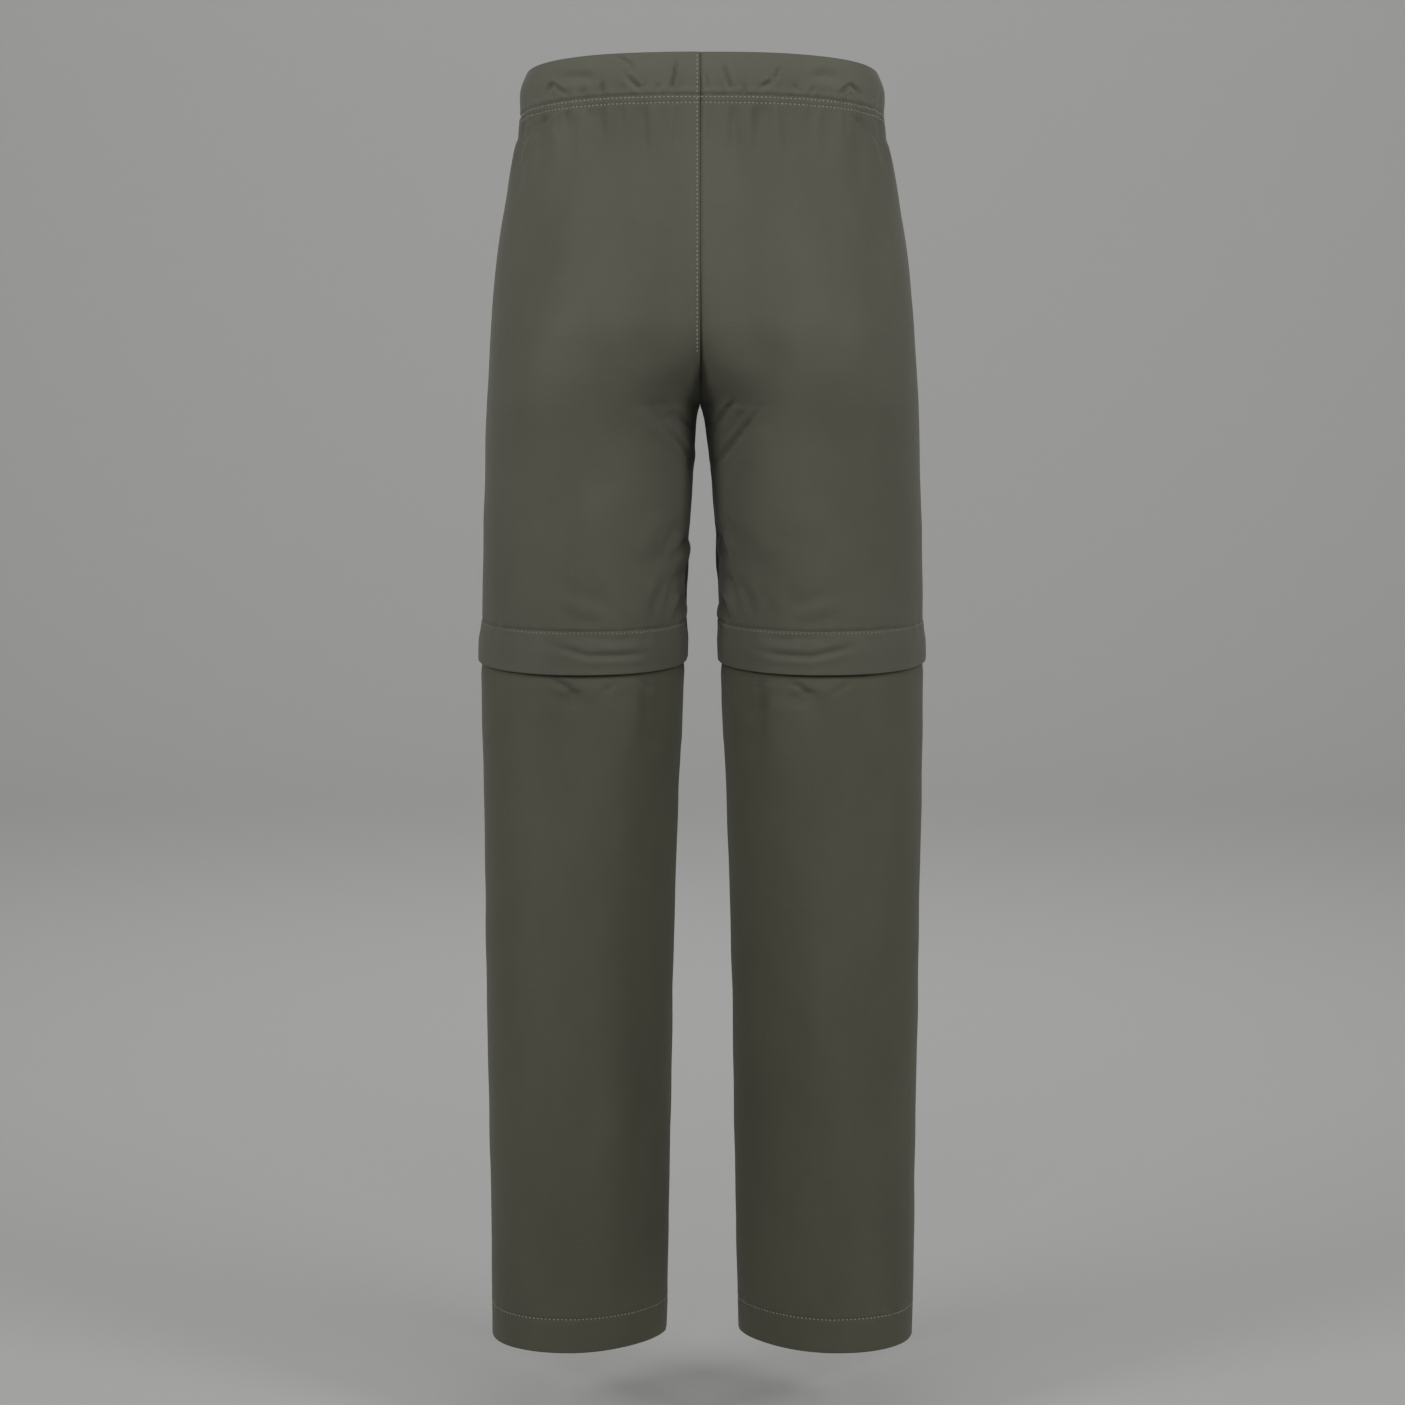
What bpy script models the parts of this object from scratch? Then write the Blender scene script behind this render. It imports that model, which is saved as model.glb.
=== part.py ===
"""Convertible zip-off trousers with an elastic waist, filled out as if worn.

Each side of the garment is one closed form: a half torso that turns into a leg at the crotch. A point of it
has two coordinates. The share v runs round the side from the centre back (inseam, below the crotch), past
the outseam at 0.5, to the centre front (inseam). The level is the height at the outseam, where the rows of
the cloth lie level; towards the back and front they slope. Every piece is a wall on that form, moved along
its normal, so that pieces meet at their seams with a hair's gap. The right side is the left one mirrored,
with folds of its own. +Z is up, the front faces -Y, and the origin is the middle of the waist.
"""

from collections import namedtuple

import bpy
import numpy as np

# Driving dimensions, in millimetres
MILLIMETRE = 0.001
HALF_GAP = 0.15
CLOTH_WALL = 1.2
HEM_WALL = 2.0
FLAP_WALL = 1.4
BAND_WALL = 2.4
TAPE_WALL = 1.2
CHAIN_RISE = 1.2
CROTCH_LEVEL = -237.0
CLEFT_HEIGHT = 110.0
CLEFT_RISE_POWER = 1.2
CLEFT_POWER = 1.6
CUT_RISE_POWER = 1.6
CUT_POWER = 4.2
FACET_START = -470.0
FACET_RUN = 90.0
FACET_DROP = 0.4
SMALLEST_SHARE = 1e-6
BAND_TOP_LEVEL = 19.0
BAND_SEAM_LEVEL = -14.0
KNEE_SEAM_LEVEL = -406.2
ZIP_END_LEVEL = -430.0
FLAP_END_LEVEL = -438.8
HEM_LEVEL = -984.5
HEM_DEPTH = 26.0

# How far each layer at the knee stands off the form
FLAP_SEAM_LIFT = 0.3
FLAP_LIFT = 2.2
FLAP_SEAM_INSET = -1.4
TAPE_INSET = -2.2

# The slider on the knee zip, at the front and outer side of each leg, and the folded tape on it
SLIDER_SHARE = 0.63
SLIDER_LENGTH = 12.0
SLIDER_WIDTH = 8.6
SLIDER_NOSE_WIDTH = 5.4
SLIDER_HEIGHT = 2.8
SLIDER_FLAP_LIFT = 4.2
SLIDER_FLAP_SPREAD = 30.0
PULL_WIDTH = 10.0
PULL_LENGTH = 29.0
PULL_THICKNESS = 1.6

# Columns of the grids
GATHER_COLUMNS = 32
PANEL_COLUMNS = 16
LOWER_COLUMNS = 14
RING_COLUMNS = 28
BAND_COLUMNS = 32
ARC_STEPS = 721

# The form's widths: from the centre plane to the outer side and, on a leg, to the inner side
Width = namedtuple("Width", "level outer inner")
WIDTHS = (
    Width(-986, 169.2, 29.2),
    Width(-962, 169.9, 28.4),
    Width(-880, 171.0, 26.6),
    Width(-797, 172.1, 25.4),
    Width(-716, 173.3, 24.2),
    Width(-635, 173.9, 22.1),
    Width(-553, 175.0, 19.2),
    Width(-500, 175.8, 17.0),
    Width(-450, 176.3, 14.6),
    Width(-405, 175.4, 13.0),
    Width(-377, 174.5, 12.2),
    Width(-345, 173.7, 10.6),
    Width(-313, 173.1, 8.5),
    Width(-281, 172.3, 6.3),
    Width(-265, 171.8, 5.0),
    Width(-250, 171.3, 3.3),
    Width(-243, 171.0, 1.8),
    Width(-237, 170.8, 0.15),
    Width(-202, 168.6, 0.15),
    Width(-170, 166.7, 0.15),
    Width(-139, 164.2, 0.15),
    Width(-107, 160.2, 0.15),
    Width(-76, 155.0, 0.15),
    Width(-45, 149.3, 0.15),
    Width(-28, 144.9, 0.15),
    Width(-14, 143.3, 0.15),
    Width(4, 142.2, 0.15),
    Width(19, 138.6, 0.15),
)

# The form's depths behind and before the middle plane, the squareness of its sections, the slope of its
# rows (rise for each millimetre towards the back) and the lean of its sections outwards at the back
Depth = namedtuple("Depth", "level back front power slope lean")
DEPTHS = (
    Depth(-986, 69, 63, 2.15, -0.060, 0.085),
    Depth(-930, 70, 64, 2.15, -0.020, 0.055),
    Depth(-860, 73, 66, 2.15, 0.000, 0.000),
    Depth(-720, 79, 70, 2.15, 0.000, 0.000),
    Depth(-600, 82, 72, 2.15, 0.000, 0.000),
    Depth(-530, 81, 73, 2.20, 0.000, 0.000),
    Depth(-440, 82, 77, 2.20, -0.085, 0.000),
    Depth(-405, 86, 81, 2.25, -0.063, 0.000),
    Depth(-340, 93.5, 91, 2.45, 0.000, 0.000),
    Depth(-281, 100, 99, 2.60, 0.000, 0.000),
    Depth(-260, 103.5, 102, 2.65, 0.000, 0.000),
    Depth(-237, 109, 104.5, 2.70, 0.000, 0.000),
    Depth(-202, 117, 106.5, 2.60, 0.000, 0.000),
    Depth(-170, 121.5, 107, 2.50, 0.000, 0.000),
    Depth(-139, 120, 106, 2.45, 0.010, 0.000),
    Depth(-107, 114.5, 104.5, 2.40, 0.040, 0.000),
    Depth(-76, 107.5, 102, 2.40, 0.085, 0.000),
    Depth(-45, 101, 99.5, 2.45, 0.130, 0.000),
    Depth(-14, 97, 97, 2.50, 0.158, 0.000),
    Depth(19, 95, 94, 2.50, 0.160, 0.000),
)

# Soft gathers below the waist seam: the distance round from the centre seam, half width, depth, and how
# far down each one reaches
Gather = namedtuple("Gather", "place width depth reach")
GATHERS = {
    ("left", "back"): (
        Gather(18, 5.5, 1.5, 34),
        Gather(30, 5.0, 1.9, 26),
        Gather(46, 6.5, 2.2, 44),
        Gather(64, 5.5, 1.2, 22),
        Gather(84, 6.5, 1.8, 36),
        Gather(106, 6.0, 1.5, 24),
        Gather(132, 7.0, 2.2, 40),
        Gather(164, 7.0, 1.8, 46),
    ),
    ("right", "back"): (
        Gather(11, 5.0, 1.3, 20),
        Gather(25, 5.5, 2.1, 38),
        Gather(45, 6.5, 2.3, 32),
        Gather(67, 6.0, 1.6, 42),
        Gather(82, 5.5, 1.5, 24),
        Gather(99, 6.0, 1.4, 30),
        Gather(130, 7.0, 2.1, 38),
        Gather(160, 7.5, 1.9, 48),
    ),
    ("left", "front"): (
        Gather(14, 5.5, 1.6, 28),
        Gather(33, 6.0, 2.0, 40),
        Gather(55, 6.0, 1.7, 26),
        Gather(76, 6.5, 2.1, 38),
        Gather(101, 6.0, 1.5, 24),
        Gather(128, 7.0, 2.1, 42),
        Gather(160, 7.0, 1.7, 34),
    ),
    ("right", "front"): (
        Gather(17, 5.5, 1.7, 32),
        Gather(36, 6.0, 1.9, 26),
        Gather(58, 6.5, 2.0, 42),
        Gather(81, 6.0, 1.6, 28),
        Gather(104, 6.5, 1.8, 36),
        Gather(131, 7.0, 2.0, 30),
        Gather(162, 7.0, 1.8, 44),
    ),
}
GATHER_START = 3.0
GATHER_RISE = 11.0

# Larger folds, as troughs along a line between two places (distance from the centre plane, and height)
Fold = namedtuple("Fold", "x_from z_from x_to z_to width depth")
FOLDS = {
    ("left", "back"): (
        Fold(120, -12, 137, -21, 5.0, 1.2),
        Fold(137, -21, 142, -34, 6.0, 1.0),
        Fold(40, -231, 26, -252, 7.0, 1.3),
        Fold(26, -240, 15, -256, 6.0, 1.2),
        Fold(24, -262, 17, -288, 6.0, 1.2),
        Fold(13, -325, 34, -367, 9.0, 2.8),
        Fold(12, -358, 23, -393, 9.0, 3.6),
        Fold(40, -462, 38, -513, 9.0, 2.4),
        Fold(106, -458, 99, -473, 8.0, 2.0),
    ),
    ("right", "back"): (
        Fold(120, -11, 137, -23, 5.0, 1.2),
        Fold(137, -23, 142, -36, 6.0, 1.0),
        Fold(29, -238, 17, -252, 6.0, 1.2),
        Fold(39, -244, 18, -280, 7.0, 1.5),
        Fold(14, -325, 36, -367, 9.0, 2.6),
        Fold(12, -346, 25, -393, 9.0, 3.4),
        Fold(41, -462, 39, -515, 9.0, 2.4),
        Fold(75, -458, 82, -472, 8.0, 2.0),
    ),
    ("left", "front"): (
        Fold(124, -44, 138, -56, 6.0, 1.2),
        Fold(44, -232, 20, -253, 8.0, 1.6),
        Fold(28, -252, 17, -282, 7.0, 1.4),
        Fold(14, -334, 38, -372, 9.0, 2.6),
        Fold(120, -388, 92, -396, 9.0, 2.2),
        Fold(46, -462, 40, -506, 9.0, 2.2),
    ),
    ("right", "front"): (
        Fold(122, -46, 137, -60, 6.0, 1.2),
        Fold(34, -232, 18, -250, 7.0, 1.4),
        Fold(40, -248, 18, -278, 7.0, 1.5),
        Fold(13, -328, 34, -368, 9.0, 2.8),
        Fold(70, -386, 100, -395, 9.0, 2.0),
        Fold(44, -462, 41, -510, 9.0, 2.2),
    ),
}
RIDGE_SHARE = 0.4
SEAM_CALM = 9.0

# The levels of each piece's rows, and the colours of the materials
UPPER_GATHER_LEVELS = (-20, -27, -36, -48, -64)
UPPER_LEVELS = (-88, -112, -140, -165, -186, -202, -215, -224, -230, -234, -236.3, -237, -243, -252, -268, -290,
                -315, -342, -368, -388)
LOWER_LEVELS = (-438, -450, -467, -490, -522, -575, -650, -740, -840, -920)
CLOTH_COLOUR = (0.103, 0.1025, 0.079)
BAND_COLOUR = (0.118, 0.118, 0.093)
LOWER_COLOUR = (0.091, 0.091, 0.067)
FLAP_COLOUR = (0.102, 0.1015, 0.079)
TAPE_COLOUR = (0.040, 0.040, 0.034)
SLIDER_COLOUR = (0.030, 0.031, 0.028)


def column(table, name):
    """One column of a table, as an array from the lowest row to the highest."""
    return np.array([float(getattr(row, name)) for row in table])


def read(table, name, level):
    """A column's value at a level: a cubic through the rows whose slopes never overshoot them."""
    levels, values = column(table, "level"), column(table, name)
    steps = np.diff(levels)
    rates = np.diff(values) / steps
    slopes = np.zeros(len(values))
    slopes[0], slopes[-1] = rates[0], rates[-1]
    below, above = rates[:-1], rates[1:]
    same_way = below * above > 0
    total = np.where(same_way, below + above, 1.0)
    slopes[1:-1] = np.where(same_way, 2.0 * below * above / total, 0.0)
    row = int(np.clip(np.searchsorted(levels, level) - 1, 0, len(steps) - 1))
    t = (level - levels[row]) / steps[row]
    return ((2 * t**3 - 3 * t**2 + 1) * values[row] + (t**3 - 2 * t**2 + t) * steps[row] * slopes[row]
            + (3 * t**2 - 2 * t**3) * values[row + 1] + (t**3 - t**2) * steps[row] * slopes[row + 1])


def ease(t):
    """A smooth step from 0 to 1 as t goes from 0 to 1."""
    t = np.clip(t, 0.0, 1.0)
    return t * t * (3.0 - 2.0 * t)


def section(level):
    """Centre, half widths, power, end angle and overlap of the section at a level.

    A leg's section is a whole superellipse, less square on its inner half below the knee. Above the crotch its centre moves in to the centre plane, and
    its inner half is stretched and cut off at that plane, along the U of the crotch seam, until only the
    outer half is left.
    """
    outer, inner = read(WIDTHS, "outer", level), read(WIDTHS, "inner", level)
    back, front = read(DEPTHS, "back", level), read(DEPTHS, "front", level)
    power = read(DEPTHS, "power", level)
    half_depth, middle = (back + front) / 2, (back - front) / 2
    if level <= CROTCH_LEVEL:
        half_width = (outer - inner) / 2
        return (outer + inner) / 2, middle, half_width, half_width, half_depth, power, np.pi, 1.0
    rise = min((level - CROTCH_LEVEL) / CLEFT_HEIGHT, 1.0)
    overlap = (1.0 - rise**CLEFT_RISE_POWER) ** CLEFT_POWER
    width = outer - HALF_GAP
    outer_width = width / (1.0 + overlap)
    cut = max((1.0 - rise**CUT_RISE_POWER) ** CUT_POWER, 1e-9)
    inner_width = width * overlap / (1.0 + overlap) / cut
    end_angle = np.arccos(-(cut ** (power / 2)))
    return outer - outer_width, middle, outer_width, inner_width, half_depth, power, end_angle, overlap


def way_round(shares, crown, half, overlap):
    """Distances round from the centre back at shares of the way, which are even on a leg.

    The back's crown, where the inner half of the section meets the outer, lies a distance crown round. Above
    the crotch the inner half keeps a share of the columns that falls with the overlap, and they crowd
    towards the seam, so that columns go up the form without a sideways jump.
    """
    inner_share = overlap / (1.0 + overlap)
    part = 2.0 * np.minimum(shares, 1.0 - shares)
    near = 0.0
    if inner_share > SMALLEST_SHARE:
        crowding = (half - crown) * inner_share / (1.0 - inner_share) / crown
        near = crown * np.minimum(part / inner_share, 1.0) ** crowding
    beyond = crown + (half - crown) * (part - inner_share) / (1.0 - inner_share)
    way = np.where(part < inner_share, near, beyond)
    return np.where(shares <= 0.5, way, 2.0 * half - way)


def around(level, shares):
    """Points of the plain form at one level, at shares of the way round, its length and their distances."""
    centre, middle, outer_width, inner_width, half_depth, power, end_angle, overlap = section(level)
    angles = np.linspace(end_angle, -end_angle, ARC_STEPS)
    cosines, sines = np.cos(angles), np.sin(angles)
    half_width = np.where(cosines < 0, -inner_width, outer_width)
    facet = FACET_DROP * ease((FACET_START - level) / FACET_RUN)
    power = np.where(cosines < 0, power - facet, power)
    x = centre + half_width * np.abs(cosines) ** (2 / power)
    y = middle + half_depth * np.sign(sines) * np.abs(sines) ** (2 / power)
    lean = read(DEPTHS, "lean", level)
    x = x + lean * (y - middle)
    z = level + read(DEPTHS, "slope", level) * y
    lengths = np.concatenate(([0.0], np.cumsum(np.hypot(np.diff(x), np.diff(y)))))
    back = slice(ARC_STEPS // 2 + 1)
    crown = np.interp(centre + lean * half_depth, x[back], lengths[back])
    way = way_round(shares, crown, lengths[-1] / 2, overlap)
    points = np.stack([np.interp(way, lengths, values) for values in (x, y, z)], axis=1)
    return points, lengths[-1], way


def plain_normals(level, shares):
    """Outward normals of the plain form, from its points close by on all four sides."""
    share_step, level_step = 0.003, 0.5
    above, below = level + level_step, level - level_step
    if level <= CROTCH_LEVEL:
        above = min(above, CROTCH_LEVEL)
    up = around(above, shares)[0] - around(below, shares)[0]
    ahead = np.minimum(shares + share_step, 1.0)
    behind = np.maximum(shares - share_step, 0.0)
    along = around(level, ahead)[0] - around(level, behind)[0]
    normals = np.cross(up, along)
    return normals / np.linalg.norm(normals, axis=1, keepdims=True)


def trough(distance, width):
    """Depth of a soft trough with a low ridge on each side, as a share of its full depth."""
    side = (np.abs(distance) - 2.0 * width) / width
    return np.exp(-((distance / width) ** 2)) - RIDGE_SHARE * np.exp(-(side**2))


def gather_depth(side, face, level, distances):
    """Inward depth of the gathers at distances round from the centre seam."""
    drop = BAND_SEAM_LEVEL - GATHER_START - level
    depth = np.zeros_like(distances)
    for gather in GATHERS[side, face]:
        fade = ease(drop / GATHER_RISE) * (1.0 - ease((drop - GATHER_RISE) / gather.reach))
        depth += gather.depth * fade * trough(distances - gather.place, gather.width)
    return depth


def fold_depth(side, face, points):
    """Inward depth of the larger folds at points of the form."""
    depth = np.zeros(len(points))
    for fold in FOLDS[side, face]:
        start = np.array([fold.x_from, fold.z_from])
        run = np.array([fold.x_to, fold.z_to]) - start
        offset = points[:, [0, 2]] - start
        t = np.clip(offset @ run / (run @ run), 0.0, 1.0)
        distance = np.linalg.norm(offset - t[:, None] * run, axis=1)
        depth += fold.depth * trough(distance, fold.width)
    return depth


def cloth(side, level, shares, lift=0.0):
    """Points of the folded cloth at one level, lifted off the form along its normals."""
    points, length, way = around(level, shares)
    normals = plain_normals(level, shares)
    on_back = shares <= 0.5
    depth = np.zeros(len(shares))
    for face, mask in (("back", on_back), ("front", ~on_back)):
        from_seam = way[mask] if face == "back" else length - way[mask]
        depth[mask] = gather_depth(side, face, level, from_seam) + fold_depth(side, face, points[mask])
    to_seam = np.minimum(np.minimum(way, length - way), np.abs(way - length / 2))
    depth = depth * ease(to_seam / SEAM_CALM)
    return points + normals * (lift - depth)[:, None]


def panel_shares(level, face, columns):
    """Shares of one panel's columns, held back by half a gap from its two long seams."""
    length = around(level, np.array([0.0]))[1]
    inner_gap = HALF_GAP / length if level <= CROTCH_LEVEL else 0.0
    shares = np.linspace(inner_gap, 0.5 - HALF_GAP / length, columns + 1)
    return shares if face == "back" else 1.0 - shares[::-1]


def strip(upper, lower, flip):
    """Triangles between two rows of vertex numbers; the upper row may have twice the columns."""
    faces = []
    if len(upper) == len(lower):
        for i in range(len(upper) - 1):
            faces += [(upper[i], lower[i], lower[i + 1]), (upper[i], lower[i + 1], upper[i + 1])]
    else:
        for i in range(len(lower) - 1):
            first, middle, last = upper[2 * i:2 * i + 3]
            faces += [(first, lower[i], middle), (middle, lower[i], lower[i + 1]), (middle, lower[i + 1], last)]
    return [face[::-1] for face in faces] if flip else faces


def wall_mesh(outer_rows, inner_rows, closed):
    """Vertices and triangles of a closed wall between an outer and an inner grid, rows from top to bottom."""
    vertices, numbered = [], []
    for rows in (outer_rows, inner_rows):
        numbers = []
        for row in rows:
            first = len(vertices)
            vertices.extend(row)
            indices = list(range(first, first + len(row)))
            numbers.append(indices + [first] if closed else indices)
        numbered.append(numbers)
    outer, inner = numbered
    faces = []
    for upper, lower in zip(outer[:-1], outer[1:]):
        faces += strip(upper, lower, True)
    for upper, lower in zip(inner[:-1], inner[1:]):
        faces += strip(upper, lower, False)
    faces += strip(inner[0], outer[0], True)
    faces += strip(outer[-1], inner[-1], True)
    if not closed:
        for end, flip in ((0, False), (-1, True)):
            faces += strip([row[end] for row in inner], [row[end] for row in outer], flip)
    return vertices, faces


def add_object(name, vertices, faces, side, colour, roughness, metallic=0.0):
    """Make one named object with its own material; the right side is mirrored and its faces turned."""
    points = np.array(vertices) * MILLIMETRE
    if side == "right":
        points = points * np.array([-1.0, 1.0, 1.0])
        faces = [face[::-1] for face in faces]
    mesh = bpy.data.meshes.new(name)
    mesh.from_pydata(points.tolist(), [], faces)
    mesh.update()
    mesh.shade_smooth()
    material = bpy.data.materials.new(name)
    material.use_nodes = True
    shader = material.node_tree.nodes["Principled BSDF"]
    shader.inputs["Base Color"].default_value = (*colour, 1.0)
    shader.inputs["Roughness"].default_value = roughness
    shader.inputs["Metallic"].default_value = metallic
    mesh.materials.append(material)
    made = bpy.data.objects.new(name, mesh)
    bpy.context.collection.objects.link(made)
    return made


def add_panel(name, side, face, rows, colour):
    """A cloth panel; each row gives its level, columns, lift and wall."""
    outer_rows, inner_rows = [], []
    for level, columns, lift, wall in rows:
        shares = panel_shares(level, face, columns)
        outer_rows.append(cloth(side, level, shares, lift))
        inner_rows.append(cloth(side, level, shares, lift - wall))
    vertices, faces = wall_mesh(outer_rows, inner_rows, closed=False)
    add_object(name, vertices, faces, side, colour, 0.8)


def add_ring(name, side, rows, colour, extra_lift=None):
    """A closed ring round one leg; each row gives its level, lift and wall."""
    shares = np.arange(RING_COLUMNS) / RING_COLUMNS
    outer_rows, inner_rows = [], []
    for level, lift, wall in rows:
        lifts = lift + (extra_lift(level, shares) if extra_lift else 0.0)
        outer_rows.append(cloth(side, level, shares, lifts))
        inner_rows.append(cloth(side, level, shares, lifts - wall))
    vertices, faces = wall_mesh(outer_rows, inner_rows, closed=True)
    add_object(name, vertices, faces, side, colour, 0.8)


def add_waistband(side):
    """One half of the waistband, from the centre back round the side to the centre front."""
    rows = ((BAND_TOP_LEVEL, -0.7, BAND_WALL - 1.4), (BAND_TOP_LEVEL - 1.2, 0.0, BAND_WALL),
            (2.0, 0.5, BAND_WALL), (BAND_SEAM_LEVEL + 3.0, 0.2, BAND_WALL),
            (BAND_SEAM_LEVEL + HALF_GAP, 0.0, CLOTH_WALL))
    shares = np.linspace(0.0, 1.0, BAND_COLUMNS + 1)
    outer_rows = [cloth(side, level, shares, lift) for level, lift, wall in rows]
    inner_rows = [cloth(side, level, shares, lift - wall) for level, lift, wall in rows]
    vertices, faces = wall_mesh(outer_rows, inner_rows, closed=False)
    add_object(f"waistband_{side}", vertices, faces, side, BAND_COLOUR, 0.8)


def add_upper_panels(side):
    """The back and front panels, from the waist seam to the knee seam."""
    rows = [(BAND_SEAM_LEVEL - HALF_GAP, GATHER_COLUMNS, 0.0, CLOTH_WALL)]
    rows += [(level, GATHER_COLUMNS, 0.0, CLOTH_WALL) for level in UPPER_GATHER_LEVELS]
    rows += [(level, PANEL_COLUMNS, 0.0, CLOTH_WALL) for level in UPPER_LEVELS]
    rows += [(KNEE_SEAM_LEVEL + HALF_GAP, PANEL_COLUMNS, 0.0, CLOTH_WALL)]
    for face in ("back", "front"):
        add_panel(f"{face}_{side}", side, face, rows, CLOTH_COLOUR)


def slider_room(level, shares):
    """Extra lift of the flap where it passes over the slider."""
    length = around(level, np.array([0.0]))[1]
    distance = (shares - SLIDER_SHARE) * length
    fade = ease((KNEE_SEAM_LEVEL - level) / 8.0)
    return SLIDER_FLAP_LIFT * fade * np.exp(-((distance / SLIDER_FLAP_SPREAD) ** 2))


def add_knee(side):
    """The flap over the zip, and the zip's tape with its chain, sewn into the knee seam under it."""
    seam = KNEE_SEAM_LEVEL - HALF_GAP
    flap_rows = ((seam, FLAP_SEAM_LIFT, FLAP_WALL), (-413.0, 1.4, FLAP_WALL), (-427.0, FLAP_LIFT, FLAP_WALL),
                 (FLAP_END_LEVEL, FLAP_LIFT, FLAP_WALL))
    add_ring(f"knee_flap_{side}", side, flap_rows, FLAP_COLOUR, slider_room)
    chain_wall, chain_lift = TAPE_WALL + CHAIN_RISE, TAPE_INSET + CHAIN_RISE
    zip_rows = ((seam, FLAP_SEAM_INSET, TAPE_WALL), (-409.5, TAPE_INSET, TAPE_WALL),
                (-415.0, TAPE_INSET, TAPE_WALL), (-415.8, chain_lift, chain_wall),
                (-420.2, chain_lift, chain_wall), (-421.0, TAPE_INSET, TAPE_WALL),
                (ZIP_END_LEVEL + HALF_GAP, TAPE_INSET, TAPE_WALL))
    add_ring(f"knee_zip_{side}", side, zip_rows, TAPE_COLOUR)


def tangent_frame(side, level, share, lift):
    """Origin and axes (along the chain, up, and out) of a small hard piece on the zip."""
    origin = cloth(side, level, np.array([share]), lift)[0]
    out = plain_normals(level, np.array([share]))[0]
    out = np.array([out[0], out[1], 0.0]) / np.hypot(out[0], out[1])
    up = np.array([0.0, 0.0, 1.0])
    return origin, np.cross(up, out), up, out


def add_prism(name, side, frame, outline, bottom, top, colour, roughness, metallic):
    """A plate with a convex outline of (along, up) places, from one height off the tape to another."""
    origin, along, up, out = frame
    count = len(outline)
    vertices = [origin + along * a + up * u + out * height for height in (bottom, top) for a, u in outline]
    faces = [tuple(range(count, 2 * count)), tuple(reversed(range(count)))]
    faces += [(i, (i + 1) % count, count + (i + 1) % count, count + i) for i in range(count)]
    add_object(name, vertices, faces, side, colour, roughness, metallic)


def add_slider(side):
    """The zip's slider on the chain, and the folded tape that pulls it, which hangs below the flap."""
    frame = tangent_frame(side, -418.0, SLIDER_SHARE, TAPE_INSET + CHAIN_RISE)
    end, half, nose = SLIDER_LENGTH / 2, SLIDER_WIDTH / 2, SLIDER_NOSE_WIDTH / 2
    body = ((-end, -nose), (-end / 3, -half), (end, -half), (end, half), (-end / 3, half), (-end, nose))
    bottom = 2 * HALF_GAP
    add_prism(f"zip_slider_{side}", side, frame, body, bottom, bottom + SLIDER_HEIGHT, SLIDER_COLOUR, 0.4, 0.6)
    top, side_reach = -half - 2 * HALF_GAP, PULL_WIDTH / 2
    low = top - PULL_LENGTH
    tape = ((-side_reach, low + 1.5), (-side_reach + 1.5, low), (side_reach - 1.5, low),
            (side_reach, low + 1.5), (side_reach, top), (-side_reach, top))
    start = bottom + 0.9
    add_prism(f"zip_pull_{side}", side, frame, tape, start, start + PULL_THICKNESS, TAPE_COLOUR, 0.8, 0.0)


def add_lower_panels(side):
    """The zip-off lower leg's back and front panels, tucked under the flap and turned up at the hem."""
    rows = [(ZIP_END_LEVEL - HALF_GAP, LOWER_COLUMNS, TAPE_INSET, CLOTH_WALL)]
    for level in LOWER_LEVELS:
        lift = TAPE_INSET * (1.0 - ease((ZIP_END_LEVEL - level) / 22.0))
        rows.append((level, LOWER_COLUMNS, lift, CLOTH_WALL))
    rows += [(HEM_LEVEL + HEM_DEPTH, LOWER_COLUMNS, 0.0, HEM_WALL), (HEM_LEVEL, LOWER_COLUMNS, 0.0, HEM_WALL)]
    for face in ("back", "front"):
        add_panel(f"lower_{face}_{side}", side, face, rows, LOWER_COLOUR)


def build():
    """Clear the scene and make every piece, left and right."""
    for old in list(bpy.data.objects):
        bpy.data.objects.remove(old, do_unlink=True)
    for side in ("left", "right"):
        add_waistband(side)
        add_upper_panels(side)
        add_knee(side)
        add_slider(side)
        add_lower_panels(side)


build()
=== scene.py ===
"""Convertible zip-off trousers, filled out as if worn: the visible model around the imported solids.

Lengths are in millimetres until a mesh is made, and the frame is the part's: +Z up, the front faces -Y, +X is
the wearer's left and the origin is the middle of the waist. Each side of the garment is one closed form with
two coordinates, the level (the height of a row of cloth at the outseam) and the share of the way round from
the centre back, past the outseam at one half, to the centre front. Every piece of cloth is a thin shell on
that form, creased along its normals by short tables of gathers, folds and fine creases.
"""

from __future__ import annotations

import logging
import math
from dataclasses import dataclass, field
from enum import Enum
from typing import Callable, NamedTuple, Sequence

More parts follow.
